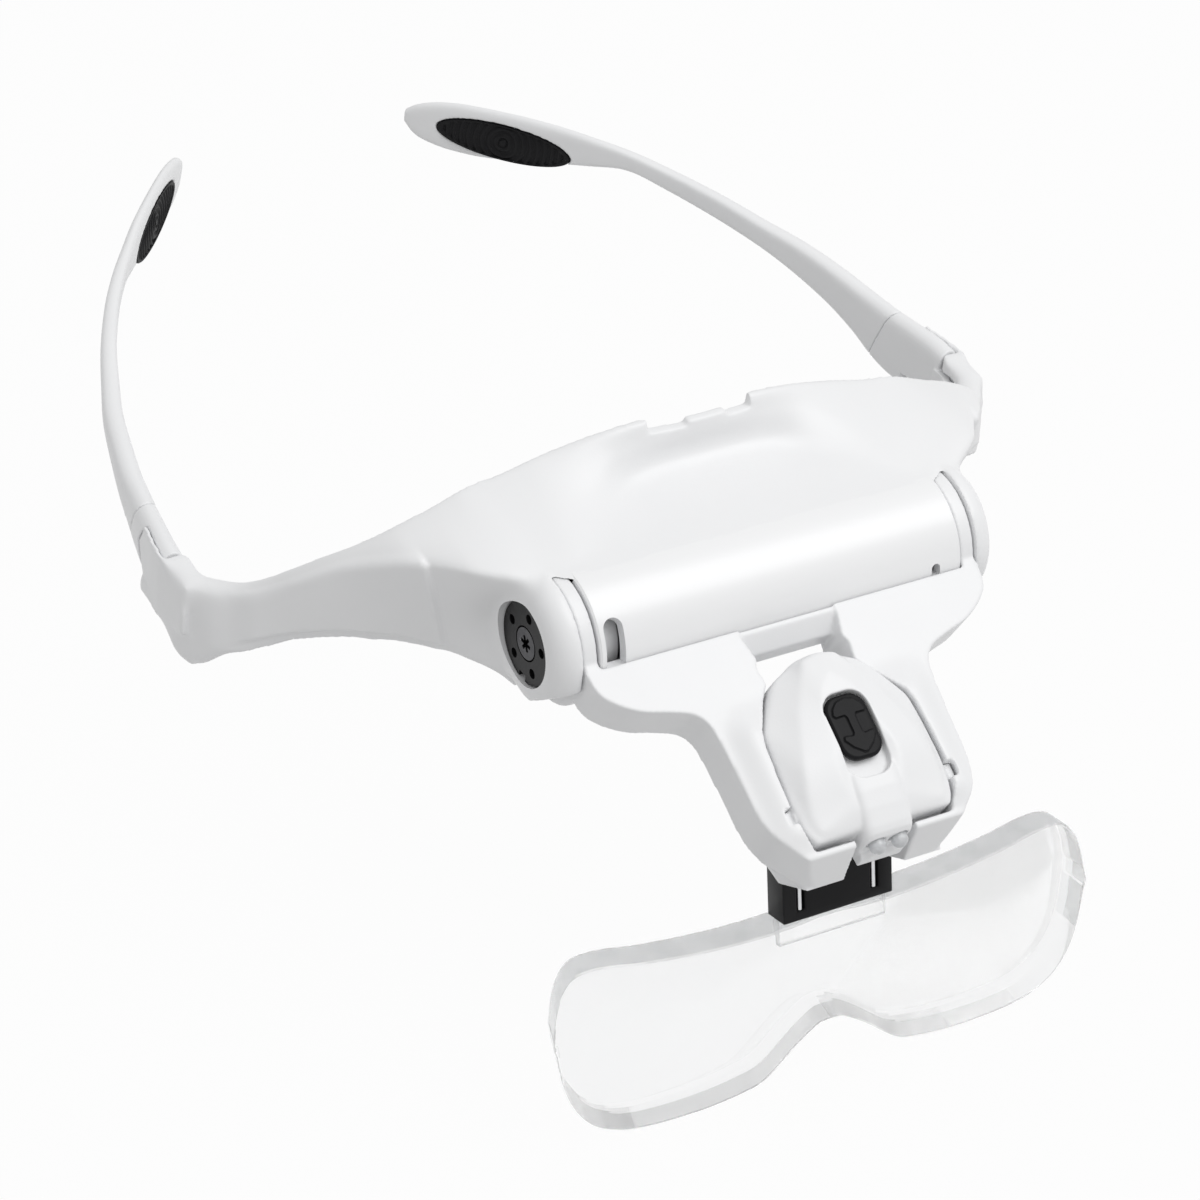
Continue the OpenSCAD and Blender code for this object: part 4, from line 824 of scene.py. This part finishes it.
lens = worked(lens_body(), ("UNION", standing_plate("neck", 10.8, -51.45, -56.15),
                           standing_plate("tab", 8.5, -39.15, -52.15)))
acrylic = Finish("cast_acrylic", Transmission_Weight=1.0, IOR=1.49, Roughness=0.05, Alpha=0.6,
                 Specular_IOR_Level=0.2)
acrylic.feed(Base_Color=acrylic.between(acrylic.grain(0.03), (0.84, 0.845, 0.85, 1), (0.87, 0.875, 0.88, 1)))
# Upper edge and ends of the polished lens: grey clouds painted on the clear acrylic as painted dark
# refraction
edge_painted_refraction = flecked("acrylic_edge_painted_refraction", 0.004, (0.5, 0.52, 0.53, 1), (0.9, 0.91, 0.92, 1), 0.002, 0.05, 0.15,
                   Transmission_Weight=0.85, IOR=1.49, Alpha=0.85)
dressed(lens, acrylic, "lens", "lens_plate")
facing = rows_of(lens.data.polygons, "normal")
# The upper edge and the ends take the painted dark refraction; the lower edge stays clear
also_coated(lens, edge_painted_refraction, (np.abs(facing[:, 1]) < 0.5) & (facing[:, 2] > -0.3))
tipped(sharp_above(lens, 12), -lens_tilt)


# Diodes: two 3 mm ones with bodies of frosted epoxy and round ends, which
# stand out of the bores in the lamp's nose.
frosted = flecked("frosted_epoxy", 0.0015, (0.86, 0.88, 0.9, 1), (0.94, 0.95, 0.96, 1), 0.0008, 0.25, 0.4,
                  Transmission_Weight=0.55, IOR=1.5, Coat_Weight=0.3)


def diode(name, side):
    """Rings along a diode's axis: a straight body, then radii that fall as a cosine to its round end."""
    bend = np.linspace(0, np.pi / 2, 10)[1:, None]
    root, shoulder = 46.55, 53.2
    reach = np.concatenate([[(root, 0.02), (root, diode_r), (shoulder, diode_r)],
                            np.hstack([shoulder + diode_r * np.sin(bend), diode_r * np.cos(bend) + 0.02])])
    rings = [np.insert(circle((side * diode_x, diode_z), radius, 40), 1, -down, axis=1)
             for down, radius in reach]
    return tipped(closed_tube(name, np.array(rings) * mm), yoke_slope)


for name, side, node in (("diode_left", -1, "led_left"), ("diode_right", 1, "led_right")):
    dressed(sharp_above(diode(name, side), 40), frosted, "lamp", node)


# Temples: white ABS arms that run back along the head. Each comes off its
# hinge connector at a leaning seam, and ends in a paddle that carries a pad.
arm_start = np.array([83.4, 52, -8.7])
arm_length = 115.2
# Shares of the arm's length backwards and inwards, rise, thickness as a share, and the depths of its outer
# and inner faces below the top edge, in millimetres
temple = [
    (0.036, 0.001, 0, 1, 11.2, 12.5), (0.07, 0.004, 0.3, 1, 11.2, 12.7),
    (0.116, 0.012, 0.3, 0.97, 10.9, 12.8), (0.161, 0.021, 0.2, 0.93, 9.8, 12.3),
    (0.2, 0.029, 0.35, 0.9, 8.6, 11.2), (0.247, 0.038, 0.6, 0.87, 7, 9.2),
    (0.309, 0.054, 1.4, 0.82, 5.8, 7.6), (0.387, 0.078, 2.1, 0.75, 4.6, 6.2),
    (0.457, 0.108, 2.7, 0.68, 3.9, 4.9), (0.543, 0.148, 3.9, 0.6, 3.6, 4.5),
    (0.628, 0.196, 5.1, 0.54, 3.2, 4), (0.69, 0.239, 6.2, 0.5, 3.2, 3.8),
    (0.745, 0.281, 6.8, 0.49, 5.54, 6.04), (0.794, 0.319, 7.1, 0.49, 7.56, 8.06),
    (0.845, 0.362, 7.1, 0.49, 9.25, 9.75), (0.894, 0.405, 6.8, 0.49, 10.1, 10.6),
    (0.93, 0.438, 6.4, 0.48, 9.89, 10.39), (0.958, 0.465, 5.6, 0.46, 8.62, 9.12),
    (0.982, 0.488, 4.2, 0.42, 6.07, 6.57), (0.998, 0.503, 2.4, 0.36, 1.83, 2.33)]
# Round the section: share of the thickness inwards, then shares of the outer and of the inner face's depth
temple_section = np.array([(0.35, 0, 0), (0.07, -0.14, 0), (0, -0.42, 0), (0.05, -0.8, 0), (0.3, -1, 0),
                           (0.78, 0, -1), (0.98, 0, -0.88), (1, 0, -0.45), (0.95, 0, -0.12), (0.68, 0, 0)])


def temple_rail():
    """Top edge of a temple and its inward direction, from the table of shares of the temple's length."""
    table = np.array(temple)
    rail = arm_start + np.stack([-table[:, 1] * arm_length, table[:, 0] * arm_length, table[:, 2]], axis=-1)
    spread = np.concatenate([rail[:1], rail, rail[-1:]])[:, :2]
    way = spread[2:] - spread[:-2]
    inward = np.stack([-way[:, 1], way[:, 0], np.zeros(len(way))], axis=-1)
    return table, rail, inward / np.linalg.norm(inward, axis=1, keepdims=True)


def temple_bar(name):
    """One closed section per place along the rail, with cubics along the temple and round each section."""
    thickness = 4.9
    table, rail, inward = temple_rail()
    depth = temple_section[None, :, :1] * table[:, None, 3:4] * thickness
    lift = temple_section[None, :, 1] * table[:, 4:5] + temple_section[None, :, 2] * table[:, 5:6]
    rings = rail[:, None] + inward[:, None] * depth
    rings[..., 2] += lift
    dense = through(rings, 6)
    wrapped = np.concatenate([dense[:, -2:], dense, dense[:, :3]], axis=1).transpose(1, 0, 2)
    smooth = through(wrapped, 4)[8:-8]
    return closed_tube(name, smooth[:-1].transpose(1, 0, 2) * mm)


def behind_seam(shift):
    """Everything behind the seam, which leans 19 degrees back towards its lower end."""
    start = np.array([70.6 + shift, arm_start[2]])
    along = np.array([-np.sin(np.radians(19)), np.cos(np.radians(19))])
    back = np.array([along[1], -along[0]])
    view = [start + along * up + back * far for up, far in ((-80, 0), (80, 0), (80, 200), (-80, 200))]
    return prism("behind_seam", np.array(view) * mm, 0, 200 * mm, (1, 2, 0))


def upright_plate(name, outline, low, high):
    """Upright bar from its plan in millimetres."""
    return prism(name, np.array(outline, float) * mm, low * mm, high * mm, (0, 1, 2))


def seam_plug(gap):
    """Plug of the connector with a gap all round, turned to the temple's run."""
    turn = np.radians(10.6)
    plan = np.array([(-1 - gap, -4), (1 + gap, -4), (1 + gap, 7 + gap), (-1 - gap, 7 + gap)])
    spun = plan @ np.array([(np.cos(turn), np.sin(turn)), (-np.sin(turn), np.cos(turn))])
    level, half = -13.9, 2.5
    return upright_plate("plug", spun + (78.8, 72.2), level - half - gap, level + half + gap)


def dressed_pair(piece, twin_name, finish, body, node):
    """Dresses a right-hand piece and its left-hand twin, whose faces are turned to look out again."""
    twin = placed(twin_name, piece.data.copy())
    twin.data.transform(Matrix.Diagonal((-1, 1, 1, 1)))
    twin.data.flip_normals()
    for side, shown in (("right", piece), ("left", twin)):
        dressed(shown, finish, f"{body}_{side}", f"{node}_{side}")


pad_half, pad_rise = 13.85, 3.7


def pad_frame(points):
    """Carries (along, up, deep) points into a right-hand paddle: leant by 85 degrees, then turned in plan.
    The pad's middle hangs under the rail, between the sixth and the fifth place from its end."""
    _, rail, _ = temple_rail()
    before, after = rail[-6], rail[-5]
    way = after - before
    origin = before + 0.42 * way - (0, 0, 6.148)
    plan, lean_in = np.arctan2(way[1], way[0]), np.radians(-85)
    along, up, deep = points[..., 0], points[..., 1], points[..., 2]
    back = up * np.cos(lean_in) - deep * np.sin(lean_in)
    rise = up * np.sin(lean_in) + deep * np.cos(lean_in)
    x, y = along * np.cos(plan) - back * np.sin(plan), along * np.sin(plan) + back * np.cos(plan)
    return (np.stack([x, y, rise], axis=-1) + origin) * mm


def pad_outline(grow, deep, steps=96):
    """Ellipse of the pad, grown by a margin, at one depth."""
    angle = full_turn(steps)
    along, up = (pad_half + grow) * np.cos(angle), (pad_rise + grow) * np.sin(angle)
    return np.stack([along, up, np.full(steps, deep)], axis=-1)


pad_room = closed_tube("pad_room", pad_frame(np.stack([pad_outline(0.15, 1.225), pad_outline(0.15, 9)])))
arm = worked(temple_bar("temple_arm"), ("INTERSECT", behind_seam(0.05)),
             ("DIFFERENCE", seam_plug(0.1), pad_room))
thinned(cast(arm, cell=0.26 * mm, rounds=5), 120000)
over_lug = [(0, 0), (200, 0), (200, 65.3), (0, 65.3)]
wall_room = [(46, 0), (65.35, 0), (65.35, -8.8), (67.75, -13.4), (66.15, -17), (63.2, -19.9), (46, -40)]
web = [(78, 52), (82.3, 52), (82.3, 56.5), (78, 56.5)]
hinge_pin = (80, 52)
connector = worked(
    temple_bar("temple_connector"),
    ("DIFFERENCE", behind_seam(-0.05), upright_plate("over_lug", over_lug, -60, -18.4),
     outer_wall(1, 0.97, 9, wall_room)),
    ("UNION", seam_plug(0), upright_plate("knuckle", circle(hinge_pin, 2.5, 32), -18.4, -12.2),
     upright_plate("web", web, -18.4, -12.2)),
    ("DIFFERENCE", upright_plate("pin_bore", circle(hinge_pin, 1.05, 32), -30, 0)))
thinned(cast(connector, cell=0.2 * mm, rounds=4), 80000)
dressed_pair(arm, "left_temple", white_satin, "arm", "temple_arm")
dressed_pair(connector, "left_hinge_arm", white_satin, "temple", "temple_connector")


# Ear pads: black rubber ellipses sunk in the paddles' inner faces, with
# ripples round a small ring so that they grip the hair.
ripple_pitch = 1.45


def ear_pad():
    """Domed ellipse in rings: ripples by the distance from its centre, fading out towards a plain rim."""
    out, turn = np.meshgrid(np.linspace(1, 0.004, 90), full_turn(360), indexing="ij")
    along, up = pad_half * out * np.cos(turn), pad_rise * out * np.sin(turn)
    far_out = np.hypot(along, up)
    rim = eased((0.93 - out) / 0.05)
    ripple = 0.5 - 0.5 * np.cos(2 * np.pi * far_out / ripple_pitch)
    deep = 2.62 + 0.2 * (1 - out**2) + 0.12 * (1 - rim) - 0.36 * rim * ripple * eased((far_out - 0.6) / 0.3)
    deep = np.where(out > 0.985, 2.52, deep)
    face = np.stack([along, up, deep], axis=-1)
    return closed_tube("ear_pad", pad_frame(np.concatenate([pad_outline(0, 1.3, 360)[None], face])))


black_rubber = moulded("black_rubber", (0.005, 0.005, 0.006, 1), (0.01, 0.01, 0.011, 1), 0.42, 0.55,
                       0.0005, 0.00002, Specular_IOR_Level=0.16)
dressed_pair(sharp_above(ear_pad(), 50), "left_ear_pad", black_rubber, "arm", "ear_pad")


# Hidden shells: the rear shell of the lamp, its battery door and the cover
# behind the drum, all white ABS with softened mould edges, and the nose pad.
for node, name, body, width in (("lamp_rear_shell", "lamp_back", "lamp", 0.15),
                                ("battery_door", "cell_door", "lamp", 0.12),
                                ("rear_cover", "drum_cover", "visor", 0.4)):
    dressed(eased_edges(own_copy(node, name), width * mm), white_satin, body, node)
soft_grey = moulded("soft_silicone", (0.62, 0.64, 0.65, 1), (0.7, 0.71, 0.72, 1), 0.5, 0.6, 0.0008, 0.00001,
                    Subsurface_Weight=0.2, Subsurface_Scale=0.002)
saddle = thinned(cast(own_copy("nose_pad", "nose_saddle"), cell=0.3 * mm, rounds=10), 60000)
dressed(saddle, soft_grey, "visor", "nose_pad")


# Carried-over parts: screws, pins, cells, contacts and board keep their
# machined CAD shape and get the surface of their real material.
steel = flecked("drawn_steel", 0.0012, (0.62, 0.63, 0.64, 1), (0.78, 0.78, 0.79, 1), 0.0005, 0.22, 0.37,
                Metallic=1.0)
steel.feed(Normal=steel.relief(steel.grain(0.0002), 0.000004))
surfaces = {
    "steel": steel,
    "dark_steel": flecked("blackened_steel", 0.001, (0.05, 0.05, 0.055, 1), (0.1, 0.1, 0.105, 1), 0.0006,
                          0.35, 0.5, Metallic=1.0),
    "brass": flecked("spring_brass", 0.002, (0.78, 0.6, 0.27, 1), (0.86, 0.7, 0.36, 1), 0.0008, 0.25, 0.37,
                     Metallic=1.0),
    "board_green": moulded("solder_mask", (0.03, 0.16, 0.07, 1), (0.05, 0.22, 0.1, 1), 0.3, 0.4, 0.0006,
                           0.00001),
    "dark_plastic": moulded("dark_nylon", (0.05, 0.05, 0.055, 1), (0.08, 0.08, 0.085, 1), 0.45, 0.55,
                            0.0005, 0.00001),
    "black_plastic": black_satin}
for row in frame["record"]["subparts"]:
    if row["material_slot"] in surfaces:
        coated(frame["nodes"][row["node"]], surfaces[row["material_slot"]])


# Studio: a paper sweep just under the magnifier and a wide soft box above it.
# Rays that meet the paper straight, by reflection or through the lens see it white.
floor_z = float(np.array(cad_box)[0][2]) - 0.2 * mm
sweep = placed("sweep", bpy.data.meshes.new("sweep"))
sweep.data.from_pydata([(x, y, floor_z) for x, y in ((-4, -4), (4, -4), (4, 4), (-4, 4))], [], [(0, 1, 2, 3)])
paper = Finish("sweep_paper", Base_Color=(0.55, 0.55, 0.55, 1), Roughness=0.9)
seen, mirrored, transmitted = (paper.node("ShaderNodeLightPath", {}, {}, ray)
                               for ray in ("Is Camera Ray", "Is Glossy Ray", "Is Transmission Ray"))
glow = paper.node("ShaderNodeEmission", {}, {"Color": (1, 1, 1, 1), "Strength": 1.0})
white = paper.math("MULTIPLY", paper.math("ADD", paper.math("ADD", seen, mirrored), transmitted), 0.96)
mixed = paper.node("ShaderNodeMixShader", {}, {0: white, 1: paper.shader.outputs[0], 2: glow})
paper.fill(paper.tree.nodes["Material Output"], {"Surface": mixed})
coated(sweep, paper)

world = bpy.data.worlds.new("studio_world")
bpy.context.scene.world = world
world.use_nodes = True
sky = Wiring(world.node_tree)
through_lens = sky.node("ShaderNodeLightPath", {}, {}, "Is Transmission Ray")
sky.fill(sky.tree.nodes["Background"], {
    "Color": (1, 1, 1, 1), "Strength": sky.math("MULTIPLY_ADD", through_lens, 0.36, 0.6)})

soft_box = placed("top_box", bpy.data.lights.new("top_box", "AREA"))
soft_box.data.size = 1.0
soft_box.data.energy = 7.4
soft_box.location = (0.32, -0.42, 1.08)
back = np.array(soft_box.location) - (0, 0.03, 0)
back /= np.linalg.norm(back)
soft_box.rotation_euler = (np.arccos(back[2]), 0, np.arctan2(back[0], -back[1]))
